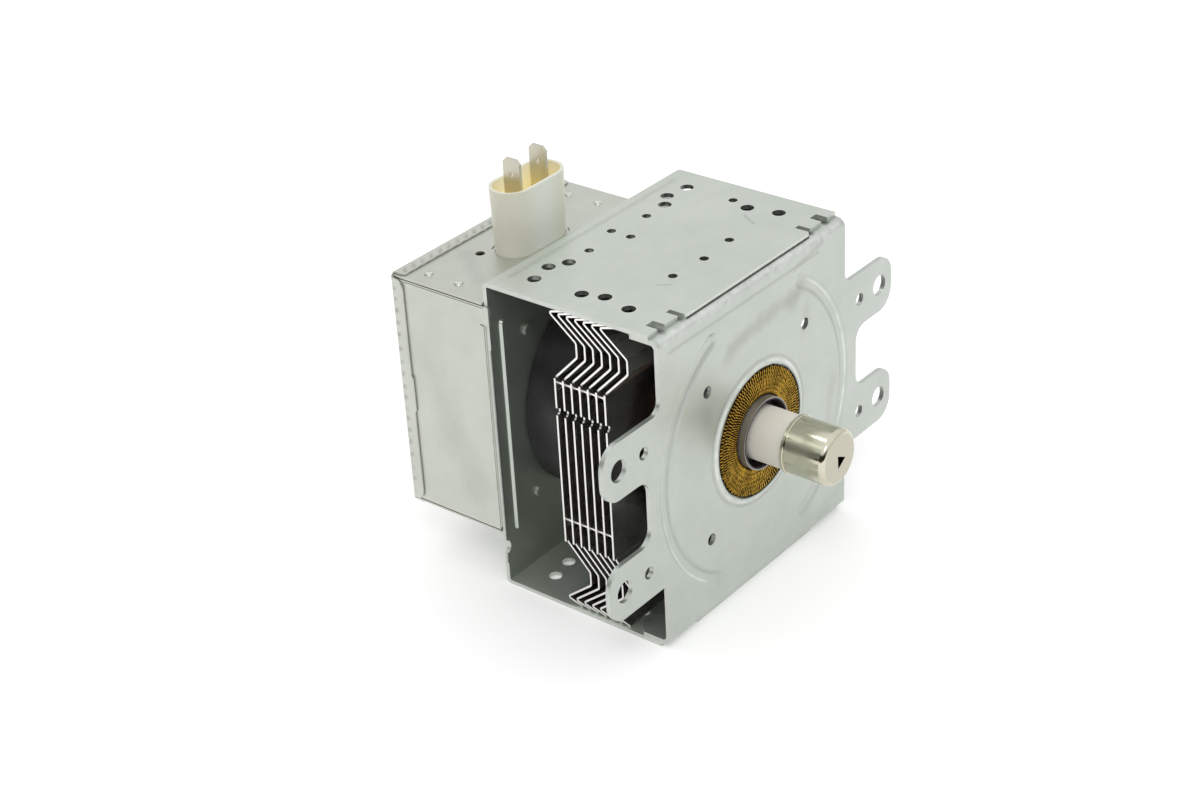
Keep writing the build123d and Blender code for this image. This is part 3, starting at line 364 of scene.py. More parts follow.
def painted_bore_shade(tree, where, tone, centre, half):
    """A tone with painted shade on the walls that stand up along Z inside a box."""
    offset = combined(tree, "SUBTRACT", where, tuple(v * MM for v in centre))
    room = combined(tree, "SUBTRACT", tuple(v * MM for v in half), combined(tree, "ABSOLUTE", offset))
    x, y, z = (coordinate(tree, room, axis) for axis in "XYZ")
    least = arithmetic(tree, "MINIMUM", arithmetic(tree, "MINIMUM", x, y), z)
    inside = arithmetic(tree, "GREATER_THAN", least, 0.0)
    wall = arithmetic(tree, "MULTIPLY", inside, arithmetic(tree, "SUBTRACT", 1.0, facing(tree, ALONG_Z)))
    return blend_colors(tree, faded(tree, wall, 0.65), tone, PAINTED_SHADE)


def zinc_plate(name, pale, dull, sheared, grain, stains, rings=(), sides=(), bores=None):
    """Zinc-plated sheet: satin and slightly cloudy, with rolling lines, specks, short scratches, soft marks
    of dirt, painted shade and painted highlights, and paler sheared edges, which look along the sheared
    direction. A stain is (centre, along, reach, width, share, tone), and a ring is (radius, half width,
    highest z, share, tone), both in millimetres. A side is (direction, axis, from, to, share, tone): the
    faces that look along the direction take the tone beyond those places on the axis, as painted light and
    shade.
    The bores are a box, (centre, half size), where upright walls get painted shade."""
    material, tree, shader, where = start_material(name, metallic=0.75)
    wide, fine = clouds(tree, where, 0.030, 0.0, 0.6), clouds(tree, where, 0.0045, 0.0, 0.4)
    tone = blend_colors(tree, arithmetic(tree, "ADD", wide, fine), dull, pale)
    edge = facing(tree, sheared)
    torn = clouds(tree, where, 0.0012, 0.35, 0.75)
    tone = blend_colors(tree, arithmetic(tree, "MULTIPLY", edge, torn), tone, SHEARED_ZINC)
    tone = stained(tree, where, tone, stains)
    tone = ringed(tree, where, tone, rings)
    # painted light and painted shade on the faces that look along a direction
    for direction, axis, first, last, share, painted_side_tone in sides:
        beyond = spread(tree, coordinate(tree, where, axis), first * MM, last * MM, 0.0, share)
        mask = arithmetic(tree, "MULTIPLY", facing(tree, direction), beyond)
        tone = blend_colors(tree, mask, tone, painted_side_tone)
    if bores:
        tone = painted_bore_shade(tree, where, tone, *bores)
    dots = specks(tree, where, 0.009, 0.035, 0.35)
    tone = blend_colors(tree, faded(tree, dots, 0.55), tone, ZINC_SPECK)
    scratches = use(tree, SCRATCHES, "Mask", Vector=where, Stretch=grain, Spacing=0.006, Amount=0.16)
    tone = blend_colors(tree, faded(tree, scratches, 0.35), tone, ZINC_SCRATCH)
    lines = streaks(tree, where, tuple(8.0 * v for v in grain), 0.0004)
    rough = arithmetic(tree, "MULTIPLY_ADD", lines, 0.08, clouds(tree, where, 0.010, 0.29, 0.37))
    color_and_gloss(tree, shader, tone, arithmetic(tree, "MULTIPLY_ADD", edge, 0.12, rough))
    relief = arithmetic(tree, "ADD", clouds(tree, where, 0.016), faded(tree, lines, 0.25))
    bump(tree, shader, relief, 0.35, 0.12 * MM)
    return material


def moulded_ivory():
    """The shroud: ivory plastic with a slight sheen and faint flow lines. Its flat sides are painted paler,
    as painted light, and a weak emission, stronger and yellower inside, is painted light too."""
    material, tree, shader, where = start_material("shroud_ivory")
    tone = blend_colors(tree, clouds(tree, where, 0.012), (0.67, 0.655, 0.54), (0.70, 0.69, 0.585))
    low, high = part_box("terminal_block")
    inset = combined(tree, "SUBTRACT", where, tuple((low + high) / 2))
    along = arithmetic(tree, "ABSOLUTE", coordinate(tree, inset, "X"))
    across = arithmetic(tree, "ABSOLUTE", coordinate(tree, inset, "Y"))
    round_end = (high.y - low.y) / 2
    straight = (high.x - low.x) / 2 - round_end
    past = arithmetic(tree, "MAXIMUM", arithmetic(tree, "SUBTRACT", along, straight), 0.0)
    both = place(tree, "ShaderNodeCombineXYZ", {"X": past, "Y": across}).outputs["Vector"]
    outwards = measured(tree, "LENGTH", both)
    # painted light: the flat sides paler
    flat = spread(tree, along, straight - 5.0 * MM, straight + 3.0 * MM, 1.0, 0.0)
    tone = blend_colors(tree, flat, tone, (0.75, 0.785, 0.72))
    dots = specks(tree, where, 0.005, 0.03, 0.3)
    tone = blend_colors(tree, faded(tree, dots, 0.35), tone, (0.45, 0.38, 0.24))
    inside = spread(tree, outwards, round_end - 1.0 * MM, round_end - 0.6 * MM, 1.0, 0.0)
    # painted light: a weak emission, yellower inside
    painted_glow = blend_colors(tree, inside, (0.068, 0.071, 0.06), (0.31, 0.235, 0.085))
    tree.links.new(painted_glow, shader.inputs["Emission Color"])
    shader.inputs["Emission Strength"].default_value = 1.0
    flow = streaks(tree, where, (1.0, 1.0, 14.0), 0.0022)
    color_and_gloss(tree, shader, tone, arithmetic(tree, "MULTIPLY_ADD", flow, 0.10, 0.33))
    bump(tree, shader, flow, 0.15, 0.08 * MM)
    return material


def tinned_blade():
    """The blades: tinned brass with drawing lines, and a painted reflection of the warm plastic that makes
    them yellower towards the foot.
    """
    material, tree, shader, where = start_material("blade_tinned", metallic=1.0)
    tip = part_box("terminal_blade_left")[1].z
    # painted reflection of the warm plastic: yellow towards the foot, tin towards the tip
    up = spread(tree, coordinate(tree, where, "Z"), tip - 15.0 * MM, tip - 6.5 * MM, 0.0, 1.0)
    tinned = arithmetic(tree, "ADD", up, clouds(tree, where, 0.004, -0.12, 0.12))
    tone = blend_colors(tree, tinned, (0.78, 0.665, 0.34), (0.60, 0.58, 0.495))
    dots = specks(tree, where, 0.0025, 0.08, 0.25)
    tone = blend_colors(tree, faded(tree, dots, 0.4), tone, (0.30, 0.24, 0.12))
    lines = streaks(tree, where, (1.0, 1.0, 30.0), 0.0003)
    color_and_gloss(tree, shader, tone, arithmetic(tree, "MULTIPLY_ADD", lines, 0.22, 0.28))
    bump(tree, shader, lines, 0.2, 0.03 * MM)
    return material


def polished_nickel():
    """The cap: bright plated metal with fine lines round it, small dents and a slight cloudiness. Its end
    face is painted darker, as painted shade."""
    material, tree, shader, where = start_material("cap_polish", metallic=1.0)
    tone = blend_colors(tree, clouds(tree, where, 0.005), (0.60, 0.57, 0.45), (0.68, 0.655, 0.54))
    dots = specks(tree, where, 0.0035, 0.07, 0.2)
    tone = blend_colors(tree, faded(tree, dots, 0.5), tone, (0.20, 0.17, 0.12))
    # painted shade: the end face darker
    tone = blend_colors(tree, facing(tree, ALONG_Y), tone, (0.50, 0.475, 0.39))
    lines = streaks(tree, where, (14.0, 1.0, 14.0), 0.0003)
    rough = arithmetic(tree, "MULTIPLY_ADD", lines, 0.08, clouds(tree, where, 0.003, 0.08, 0.13))
    color_and_gloss(tree, shader, tone, rough)
    dents = arithmetic(tree, "MULTIPLY_ADD", lines, 0.15, clouds(tree, where, 0.006))
    bump(tree, shader, dents, 0.12, 0.1 * MM)
    return material


def brass_wire():
    """The gasket's wire: golden brass, with painted shade that darkens it towards the plate."""
    material, tree, shader, where = start_material("gasket_wire", metallic=1.0)
    # painted shade, darker towards the plate
    painted_depth_shade = spread(tree, coordinate(tree, where, "Y"), -0.70 * MM, -0.34 * MM, 0.0, 1.0)
    lit = arithmetic(tree, "SUBTRACT", 1.0, painted_depth_shade)
    lit = arithmetic(tree, "ADD", lit, clouds(tree, where, 0.0022, -0.25, 0.25))
    tone = blend_colors(tree, lit, (0.02, 0.009, 0.001), (0.64, 0.39, 0.058))
    color_and_gloss(tree, shader, tone, clouds(tree, where, 0.0008, 0.16, 0.34))
    return material


def fired_ceramic():
    """Alumina: very pale, faintly pink, matt, with fine grain."""
    material, tree, shader, where = start_material("alumina_white")
    tone = blend_colors(tree, clouds(tree, where, 0.006), (0.84, 0.81, 0.72), (0.88, 0.845, 0.765))
    dots = specks(tree, where, 0.004, 0.04, 0.3)
    tone = blend_colors(tree, faded(tree, dots, 0.3), tone, (0.45, 0.40, 0.38))
    grain = clouds(tree, where, 0.0003, 0.45, 0.6)
    color_and_gloss(tree, shader, tone, grain)
    bump(tree, shader, grain, 0.2, 0.03 * MM)
    return material


CUP_RADIUS = 9.25 * MM


def seal_cup_metal():
    """The seal cups: grey outside, dark and faintly violet inside, with a bright rim."""
    material, tree, shader, where = start_material("seal_metal", metallic=0.65)
    wall = blend_colors(tree, clouds(tree, where, 0.006), (0.27, 0.265, 0.25), (0.36, 0.355, 0.34))
    inner_tone = blend_colors(tree, clouds(tree, where, 0.003), (0.04, 0.033, 0.033), (0.09, 0.07, 0.085))
    radius = radius_from_axis(tree, where)
    inside = spread(tree, radius, CUP_RADIUS - 0.22 * MM, CUP_RADIUS - 0.14 * MM, 1.0, 0.0)
    tone = blend_colors(tree, inside, wall, inner_tone)
    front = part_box("output_seal_cup")[0].y
    rim = spread(tree, coordinate(tree, where, "Y"), front + 0.01 * MM, front + 0.05 * MM, 1.0, 0.0)
    rim = arithmetic(tree, "MULTIPLY", rim, arithmetic(tree, "SUBTRACT", 1.0, inside))
    tone = blend_colors(tree, rim, tone, (0.50, 0.50, 0.48))
    lines = streaks(tree, where, (1.0, 12.0, 1.0), 0.0004)
    color_and_gloss(tree, shader, tone, arithmetic(tree, "MULTIPLY_ADD", lines, 0.15, 0.38))
    bump(tree, shader, lines, 0.2, 0.04 * MM)
    return material


def ground_ferrite():
    """The magnets: black ferrite with a grey bloom, tiny pits and grinding lines."""
    material, tree, shader, where = start_material("ferrite_black")
    tone = blend_colors(tree, clouds(tree, where, 0.010), (0.014, 0.014, 0.016), (0.035, 0.035, 0.036))
    dots = specks(tree, where, 0.003, 0.07, 0.35)
    tone = blend_colors(tree, faded(tree, dots, 0.5), tone, (0.12, 0.12, 0.12))
    lines = streaks(tree, where, (20.0, 1.0, 1.0), 0.0004)
    color_and_gloss(tree, shader, tone, arithmetic(tree, "MULTIPLY_ADD", lines, 0.2, 0.35))
    bump(tree, shader, lines, 0.3, 0.05 * MM)
    return material


def drawn_metal(name, dull, bright, stretch, smooth, rough, edge_tone=None, shaded_lips_from=None):
    """Bare or plated metal with drawing lines along the stretched axes and a slight cloudiness. Its sheared
    edges may have a tone of their own, and its flat lips above a height may carry painted shade."""
    material, tree, shader, where = start_material(name, metallic=1.0)
    tone = blend_colors(tree, clouds(tree, where, 0.006), dull, bright)
    lines = streaks(tree, where, stretch, 0.0004)
    tone = blend_colors(tree, spread(tree, lines, 0.55, 0.75, 0.0, 0.35), tone, tuple(0.6 * v for v in dull))
    if shaded_lips_from:
        # painted shade on the flat lips above this height
        above = spread(tree, coordinate(tree, where, "Z"), shaded_lips_from * MM, (shaded_lips_from + 1.0) * MM, 0.0, 0.9)
        tone = blend_colors(tree, arithmetic(tree, "MULTIPLY", facing(tree, ALONG_Z), above), tone, PAINTED_SHADE)
    if edge_tone:
        tone = blend_colors(tree, facing(tree, ALONG_X), tone, edge_tone)
    color_and_gloss(tree, shader, tone, arithmetic(tree, "MULTIPLY_ADD", lines, rough - smooth, smooth))
    bump(tree, shader, lines, 0.2, 0.04 * MM)
    return material


def moulded(name, dull, bright, roughness):
    """Plain moulded or fired stuff of the hidden pieces, slightly cloudy."""
    material, tree, shader, where = start_material(name)
    tone = blend_colors(tree, clouds(tree, where, 0.004), dull, bright)
    grain = clouds(tree, where, 0.0005, roughness - 0.08, roughness + 0.08)
    color_and_gloss(tree, shader, tone, grain)
    bump(tree, shader, grain, 0.15, 0.04 * MM)
    return material


# Marks on the sheets, in millimetres
SMEAR = (0.995, 0.0, 0.10)
SLOTS_X = (-33.2, -26.2, 26.2, 33.2)
plate_stains = (
    # a smear of handling dirt above the gasket
    ((3.0, 0.0, 29.0), SMEAR, 13.0, 3.4, 0.55, DIRT_AND_SHADE),
    ((17.0, 0.0, 29.8), (0.9, 0.0, 0.43), 3.0, 3.2, 0.55, DIRT_AND_SHADE),
    ((-9.0, 0.0, 26.5), (0.93, 0.0, 0.36), 4.0, 3.2, 0.35, DIRT_AND_SHADE),
    ((20.0, 0.0, 21.0), (0.3, 0.0, 0.95), 3.0, 2.6, 0.25, DIRT_AND_SHADE),
    # lines along the upper fold, and smaller patches
    ((-4.0, 0.0, 37.1), ALONG_X, 30.0, 0.8, 0.55, DIRT_AND_SHADE),
    ((22.0, 0.0, 38.0), (0.98, 0.0, 0.2), 6.0, 1.2, 0.5, DIRT_AND_SHADE),
    ((-20.3, 0.0, 17.0), ALONG_Z, 4.0, 4.0, 0.2, DIRT_AND_SHADE),
    ((30.0, 0.0, -12.0), (0.2, 0.0, 0.98), 12.0, 3.0, 0.3, DIRT_AND_SHADE),
    # a painted highlight along the fold, and painted shade in the gap behind the tongue and in the slots
    ((0.0, 0.9, 40.2), ALONG_X, 36.0, 1.5, 0.6, PAINTED_HIGHLIGHT),
    ((0.0, 1.75, 41.3), ALONG_X, 24.5, 0.6, 0.95, PAINTED_SHADE),
    *(((x, 4.6, 41.3), ALONG_Y, 1.6, 2.0, 0.8, PAINTED_SHADE) for x in SLOTS_X),
)
yoke_stains = (
    ((0.0, 47.5, 42.4), ALONG_X, 32.0, 1.3, 0.35, DIRT_AND_SHADE),
    ((23.0, 18.0, 42.4), (0.5, 0.86, 0.0), 3.0, 0.7, 0.5, DIRT_AND_SHADE),
    ((-16.0, 14.5, 42.4), (0.6, -0.8, 0.0), 1.6, 0.45, 0.6, DIRT_AND_SHADE),
    # a painted highlight along the lip's edge, and painted shade in the gap below it
    ((0.0, 1.6, 42.0), ALONG_X, 24.5, 0.35, 0.5, PAINTED_HIGHLIGHT),
    ((0.0, 1.6, 41.35), ALONG_X, 24.5, 0.62, 0.95, PAINTED_SHADE),
    # painted shade down the joint at the left back edge
    ((-37.85, 50.3, -6.0), ALONG_Z, 30.0, 0.65, 0.75, PAINTED_SHADE),
)
RIVETS = [(x, y) for x in (-33.7, 19.9) for y in (62.93, 72.48)]
RIVET_SLANT = (0.6, -0.8, 0.0)
box_stains = (
    ((-38.0, 66.0, 0.0), (0.0, 0.3, 0.95), 18.0, 9.0, 0.25, DIRT_AND_SHADE),
    ((-25.0, 66.0, 36.9), (0.6, 0.8, 0.0), 8.0, 3.5, 0.25, DIRT_AND_SHADE),
    # painted shade along the seam under the top's edge
    ((-38.35, 64.0, 35.62), ALONG_Y, 12.5, 0.2, 0.85, PAINTED_SHADE),
    # painted shade on one side of each rivet and a painted highlight on the other
    *(((x + 0.75, y + 0.6, 37.0), RIVET_SLANT, 0.7, 0.55, 0.75, PAINTED_SHADE) for x, y in RIVETS),
    *(((x - 0.1, y - 0.1, 37.2), RIVET_SLANT, 0.5, 0.7, 0.9, PAINTED_HIGHLIGHT) for x, y in RIVETS),
)
plate_rings = (
    # painted shade next to the gasket, a painted highlight on the lip and painted shadow at its foot
    (17.0, 0.3, 60.0, 0.75, PAINTED_SHADE),
    (18.0, 0.7, 60.0, 0.6, PAINTED_HIGHLIGHT),
    (19.1, 0.7, 60.0, 0.6, DIRT_AND_SHADE),
    # a painted highlight and painted shade along the arc beads
    (38.5, 0.5, 32.5, 0.6, PAINTED_HIGHLIGHT),
    (36.3, 0.8, 32.5, 0.55, DIRT_AND_SHADE),
)
# painted shade on the inner back wall and painted light on the inner bottom
yoke_light_and_shade = (
    (ALONG_Y, "Y", 48.0, 49.5, 0.65, (0.27, 0.32, 0.275)),
    (ALONG_Z, "Z", -40.5, -42.0, 0.75, (0.92, 1.0, 0.90)),
)
# the top's holes, whose walls get painted shade
YOKE_TOP_BORES = ((0.0, 28.0, 41.9), (36.0, 20.0, 1.5))

ROLLED_ALONG_X = (5.0, 1.0, 1.0)
ROLLED_ALONG_Z = (1.0, 1.0, 5.0)
finishes = {
    "yoke_steel": zinc_plate(
        "yoke_zinc",
        (0.62, 0.665, 0.61),
        (0.565, 0.61, 0.555),
        ALONG_X,
        ROLLED_ALONG_X,
        yoke_stains,
        sides=yoke_light_and_shade,
        bores=YOKE_TOP_BORES,
    ),
    "plate_steel": zinc_plate(
        "plate_zinc",
        (0.545, 0.585, 0.54),
        (0.50, 0.54, 0.495),
        ALONG_X,
        ROLLED_ALONG_X,
        plate_stains,
        rings=plate_rings,
    ),
    "box_steel": zinc_plate(
        "box_tin",
        (0.60, 0.62, 0.56),
        (0.55, 0.57, 0.51),
        ALONG_Y,
        ROLLED_ALONG_Z,
        box_stains,
    ),
    "gasket_mesh": brass_wire(),
    "ferrite": ground_ferrite(),
    "copper": drawn_metal("copper_bare", (0.52, 0.24, 0.14), (0.66, 0.34, 0.21), (1.0, 20.0, 1.0), 0.2, 0.4),
    "soft_iron": drawn_metal("iron_bare", (0.28, 0.28, 0.28), (0.38, 0.38, 0.37), (1.0, 8.0, 1.0), 0.25, 0.5),
    "fin_aluminium": drawn_metal(
        "fin_bright",
        (0.60, 0.585, 0.555),
        (0.72, 0.705, 0.68),
        (20.0, 1.0, 1.0),
        0.2,
        0.42,
        edge_tone=(0.86, 0.85, 0.82),
        # painted shade on the fins' flat lips
        shaded_lips_from=37.0,
    ),
    "seal_alloy": seal_cup_metal(),
    "alumina": fired_ceramic(),
    "cap_nickel": polished_nickel(),
    "refractory": drawn_metal(
        "refractory_grey",
        (0.17, 0.17, 0.165),
        (0.25, 0.245, 0.24),
        (1.0, 10.0, 1.0),
        0.35,
        0.6,
    ),
    "blade_tin": tinned_blade(),
    "shroud_plastic": moulded_ivory(),
    "capacitor_ceramic": moulded("capacitor_brown", (0.24, 0.135, 0.07), (0.34, 0.21, 0.12), 0.5),
    "choke_wire": drawn_metal(
        "enamel_copper",
        (0.42, 0.15, 0.05),
        (0.55, 0.23, 0.09),
        (1.0, 1.0, 1.0),
        0.15,
        0.3,
    ),
}
for row in frame["record"]["subparts"]:
    mesh = nodes[row["node"]].data
    mesh.materials.clear()
    mesh.materials.append(finishes[row["material_slot"]])


def grid_faces(rows, columns, wrap_rows=False, wrap_columns=False):
    """Quads of a grid of points that are numbered row by row. A wrapped side joins its last line to its
    first. Faces look along (step to the next row) x (step to the next column)."""
    row = np.arange(rows if wrap_rows else rows - 1)
    column = np.arange(columns if wrap_columns else columns - 1)
    row, column = (index.ravel() for index in np.meshgrid(row, column, indexing="ij"))
    start, below, beside = row * columns, (row + 1) % rows * columns, (column + 1) % columns
    return np.stack([start + column, below + column, below + beside, start + beside], axis=1)


def add_piece(name, points, faces, finish):
    """A smooth piece on the body, from an array of points in metres and an array of faces."""
    mesh = bpy.data.meshes.new(name)
    mesh.vertices.add(len(points))
    mesh.vertices.foreach_set("co", points.astype(np.float32).ravel())
    mesh.loops.add(faces.size)
    mesh.loops.foreach_set("vertex_index", faces.astype(np.int32).ravel())
    mesh.polygons.add(len(faces))
    mesh.polygons.foreach_set("loop_start", np.arange(len(faces), dtype=np.int32) * faces.shape[1])
    mesh.polygons.foreach_set("use_smooth", np.ones(len(faces), dtype=bool))
    mesh.update(calc_edges=True)
    mesh.materials.append(finish)
    piece = bpy.data.objects.new(name, mesh)
    bpy.context.scene.collection.objects.link(piece)
    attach(piece, "root")
    return piece


# Gasket: rows of knitted wire round the antenna, over a dark sheet of painted shade
GASKET_INNER = 9.3 * MM
KNIT_ROWS = 6
KNIT_STITCHES = 60  # in each row, so that the stitches stand in spokes
KNIT_STEPS = 24  # points of wire to a stitch
KNIT_WIRE = 0.14 * MM
KNIT_SIDES = 8
KNIT_HEIGHT = 0.78 * MM
KNIT_OVERHANG = 0.5
KNIT_MIDDLE = -0.43 * MM
KNIT_DEPTH = 0.13 * MM
KNIT_MOST_LIFT = 0.035 * MM


def wire_tube(path, radius, sides):
    """A tube round a closed path. Each ring's point at angle a is path + radius (cos a N + sin a B), where
    N = T x Y and B = N x T for the path's direction T."""
    ahead = np.roll(path, -1, axis=0) - np.roll(path, 1, axis=0)
    ahead /= np.linalg.norm(ahead, axis=1, keepdims=True)
    across = np.cross(ahead, np.array(ALONG_Y))
    across /= np.linalg.norm(across, axis=1, keepdims=True)
    upwards = np.cross(across, ahead)
    angle = np.linspace(0.0, 2.0 * np.pi, sides, endpoint=False)[None, :, None]
    ring = np.cos(angle) * across[:, None, :] + np.sin(angle) * upwards[:, None, :]
    points = path[:, None, :] + radius * ring
    return points.reshape(-1, 3), grid_faces(len(path), sides, wrap_rows=True, wrap_columns=True)


def knit_row(radius, height, phase):
    """One knitted row as a closed path. For t from 0 to 2 pi times the number of stitches, the turn about
    the axis is (t + overhang sin 2t) / stitches, the distance from the axis radius + height cos t, and the
    depth middle + depth cos 2t, so that the stitches' legs stand out in front of their loops. Each stitch is
    a little uneven."""
    period = 2.0 * np.pi * KNIT_STITCHES
    t = np.linspace(0.0, period, KNIT_STITCHES * KNIT_STEPS, endpoint=False)
    knots = np.linspace(0.0, period, 2 * KNIT_STITCHES, endpoint=False)

    def unevenness(middle, deviation):
        return np.interp(t, knots, chance.normal(middle, deviation, len(knots)), period=period)

    drift = unevenness(0.0, 0.2)
    swell = unevenness(1.0, 0.1)
    lift = unevenness(0.0, 0.02 * MM)
    turn = (t + KNIT_OVERHANG * np.sin(2.0 * t) + drift) / KNIT_STITCHES + phase
    out = radius + height * swell * np.cos(t)
    depth = KNIT_MIDDLE + KNIT_DEPTH * np.cos(2.0 * t) + np.clip(lift, -KNIT_MOST_LIFT, KNIT_MOST_LIFT)
    return np.stack([out * np.cos(turn), depth, out * np.sin(turn)], axis=1)


def knitted_gasket():
    """All rows of wire in one mesh, evenly spaced between the gasket's inner and outer edge."""
    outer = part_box("rf_gasket")[1].x
    margin = KNIT_HEIGHT + KNIT_WIRE
    points, faces, count = [], [], 0
    for radius in np.linspace(GASKET_INNER + margin, outer - margin, KNIT_ROWS):
        path = knit_row(radius, KNIT_HEIGHT * 0.9, chance.normal(0.0, 0.008))
        row_points, row_faces = wire_tube(path, KNIT_WIRE, KNIT_SIDES)
        points.append(row_points)
        faces.append(row_faces + count)
        count += len(row_points)
    return add_piece("gasket_knit", np.concatenate(points), np.concatenate(faces), finishes["gasket_mesh"])


def ring_piece(name, section, steps, finish):
    """A closed section of (radius, depth) points turned about the Y axis. The point at turn a is (radius
    cos a, depth, radius sin a). The section starts at its inner rear corner and runs outwards first, so
    that its faces look outwards."""
    radius, depth = np.array(section).T
    turn = np.linspace(0.0, 2.0 * np.pi, steps, endpoint=False)[:, None]
    depth = np.broadcast_to(depth, (steps, len(section)))
    points = np.stack([np.cos(turn) * radius, depth, np.sin(turn) * radius], axis=2)
    faces = grid_faces(steps, len(section), wrap_rows=True, wrap_columns=True)
    return add_piece(name, points.reshape(-1, 3), faces, finish)


def gasket_layer():
    """A dark sheet of painted shade under the gasket's wires, seen between them."""
    material, tree, shader, where = start_material("gasket_shade", metallic=1.0)
    grain = clouds(tree, where, 0.0006)
    tone = blend_colors(tree, grain, (0.010, 0.004, 0.001), (0.04, 0.02, 0.003))
    tree.links.new(tone, shader.inputs["Base Color"])
    shader.inputs["Roughness"].default_value = 0.55
    bump(tree, shader, grain, 0.8, 0.2 * MM)
    inner, outer, top = 9.35 * MM, 16.75 * MM, -0.26 * MM
    return ring_piece("gasket_shade_sheet", [(inner, 0.0), (outer, 0.0), (outer, top), (inner, top)], 180, material)


wires = knitted_gasket()
shade_sheet = gasket_layer()
for piece in (wires, shade_sheet):
    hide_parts("rf_gasket")


# Lid: a panel with four flanges folded forwards over the box, its flanges crimped in places
LID_STEP = 0.55 * MM
LID_SHEET = 0.5 * MM
LID_BEND = 1.0 * MM
LID_ARC = LID_BEND * math.pi / 2
LID_STRAIGHT = 3.9 * MM - LID_BEND
SIDE_ROUND = 3.0 * MM
TALL_ROUND = 1.2 * MM
TOP_DENT = 0.42 * MM
TOP_DENT_PITCH = 3.1 * MM
SIDE_DENT = 0.6 * MM
SIDE_DENT_PITCH = 3.4 * MM
JOG = 0.5 * MM  # how much longer the left flange is in its middle
JOG_TOP = 0.43  # as a share of the height, from the top
JOG_BOTTOM = 0.58
JOG_SOFTNESS = 0.0015


def lid_blank(start, end):
    """Places along one axis of the flat blank, and where its two bends start."""
    bend, flange = np.linspace(0.0, LID_ARC, 6)[1:], np.linspace(0.0, LID_STRAIGHT, 11)[1:]
    past = np.concatenate([bend, LID_ARC + flange])
    first, last = start + LID_BEND, end - LID_BEND
    inside = np.linspace(first, last, round((last - first) / LID_STEP))
    return np.concatenate([first - past[::-1], inside, last + past]), first, last


def lid_fold(along, first, last):
    """The folded place of points on the blank: the place along the axis, how far the bend has brought it
    forwards, its share of the straight flange, and whether it is past the panel."""
    beyond = np.maximum(np.maximum(first - along, along - last), 0.0)
    side = np.where(along < first, -1.0, 1.0)
    curved = np.minimum(beyond, LID_ARC)
    out = LID_BEND * np.sin(curved / LID_BEND)
    forwards = LID_BEND * (1.0 - np.cos(curved / LID_BEND))
    run = np.maximum(beyond - LID_ARC, 0.0)
    return np.clip(along, first, last) + side * out, forwards, run / LID_STRAIGHT, beyond > 0.0


def flange_length(along, first, last, size):
    """How long the straight flange is: rounded off over the last of its width at both ends."""
    from_end = np.clip(np.minimum(along - first, last - along), 0.0, size)
    return LID_STRAIGHT - (size - np.sqrt(size**2 - (size - from_end) ** 2))


def dent_row(phase, sharpness):
    """Dents between 0 and 1, one to a turn: the positive part of cos(2 pi phase), raised to a power."""
    return np.clip(np.cos(2.0 * np.pi * phase), 0.0, 1.0) ** sharpness


def crimped_lid():
    """The lid from one cross-shaped blank. Beyond the panel's edge a length s of the blank first follows a
    quarter circle, outwards bend sin(s / bend) and forwards bend (1 - cos(s / bend)), then runs straight
    forwards. The flanges' ends are rounded, and rows of shallow dents are pressed in."""
    low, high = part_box("filter_box_lid")
    across, left, right = lid_blank(low.x, high.x)
    upwards, bottom, top = lid_blank(low.z, high.z)
    b, a = np.meshgrid(upwards, across, indexing="ij")
    x, x_forwards, x_run, x_past = lid_fold(a, left, right)
    z, z_forwards, z_run, z_past = lid_fold(b, bottom, top)

    def below(level):
        return 1.0 / (1.0 + np.exp(-((high.z - z) / (high.z - low.z) - level) / JOG_SOFTNESS))

    jog = np.where(a < left, JOG * (below(JOG_TOP) - below(JOG_BOTTOM)), 0.0)
    side_length = flange_length(b, bottom, top, SIDE_ROUND) + jog
    tall_length = flange_length(a, left, right, TALL_ROUND)
    y = high.y - x_forwards - z_forwards - x_run * side_length - z_run * tall_length

    slanted = (a + 0.9 * z_run * LID_STRAIGHT) / TOP_DENT_PITCH + 0.12 * np.sin(a / (7.0 * MM))
    top_dents = dent_row(slanted, 3) * np.sin(np.pi * np.clip(z_run, 0.0, 1.0)) ** 0.7
    uneven = b / SIDE_DENT_PITCH + 0.15 * np.sin(b / (5.0 * MM))
    from_bend = np.where(x_run > 0.0, x_run, -(LID_BEND - x_forwards) / LID_STRAIGHT)
    side_dents = dent_row(uneven, 4) * np.exp(-(((from_bend - 0.05) / 0.22) ** 2))
    z = z + TOP_DENT * top_dents * (np.where(b < bottom, 1.0, 0.0) - np.where(b > top, 1.0, 0.0))
    x = x + np.where(a < left, 1.0, -1.0) * np.where(x_past, SIDE_DENT * side_dents, 0.0)

    points = np.stack([x, y, z], axis=2).reshape(-1, 3)
    faces = grid_faces(*b.shape)
    corner = (x_past & z_past).ravel()
    faces = faces[~corner[faces].any(axis=1)]
    used, renumbered = np.unique(faces, return_inverse=True)
    lid = add_piece("lid_crimped", points[used], renumbered.reshape(faces.shape), finishes["box_steel"])
    wall = lid.modifiers.new("sheet", "SOLIDIFY")
    wall.thickness = LID_SHEET
    wall.offset = -1.0
    return lid


lid = crimped_lid()
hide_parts("filter_box_lid")

FLOOR_HALF = 3.0
FLOOR_GLOW = 0.2  # where the camera or a reflection sees the floor, so that it comes out white
WHITE = (1.0, 1.0, 1.0)
LAMPS = (
    ("key", (-0.45, -0.30, 0.60), (0.0, 0.02, 0.0), 0.25, 0.8),
    ("glint", (-0.06, 0.315, 0.61), (0.0, -0.02, 0.0), 0.07, 0.1),
)


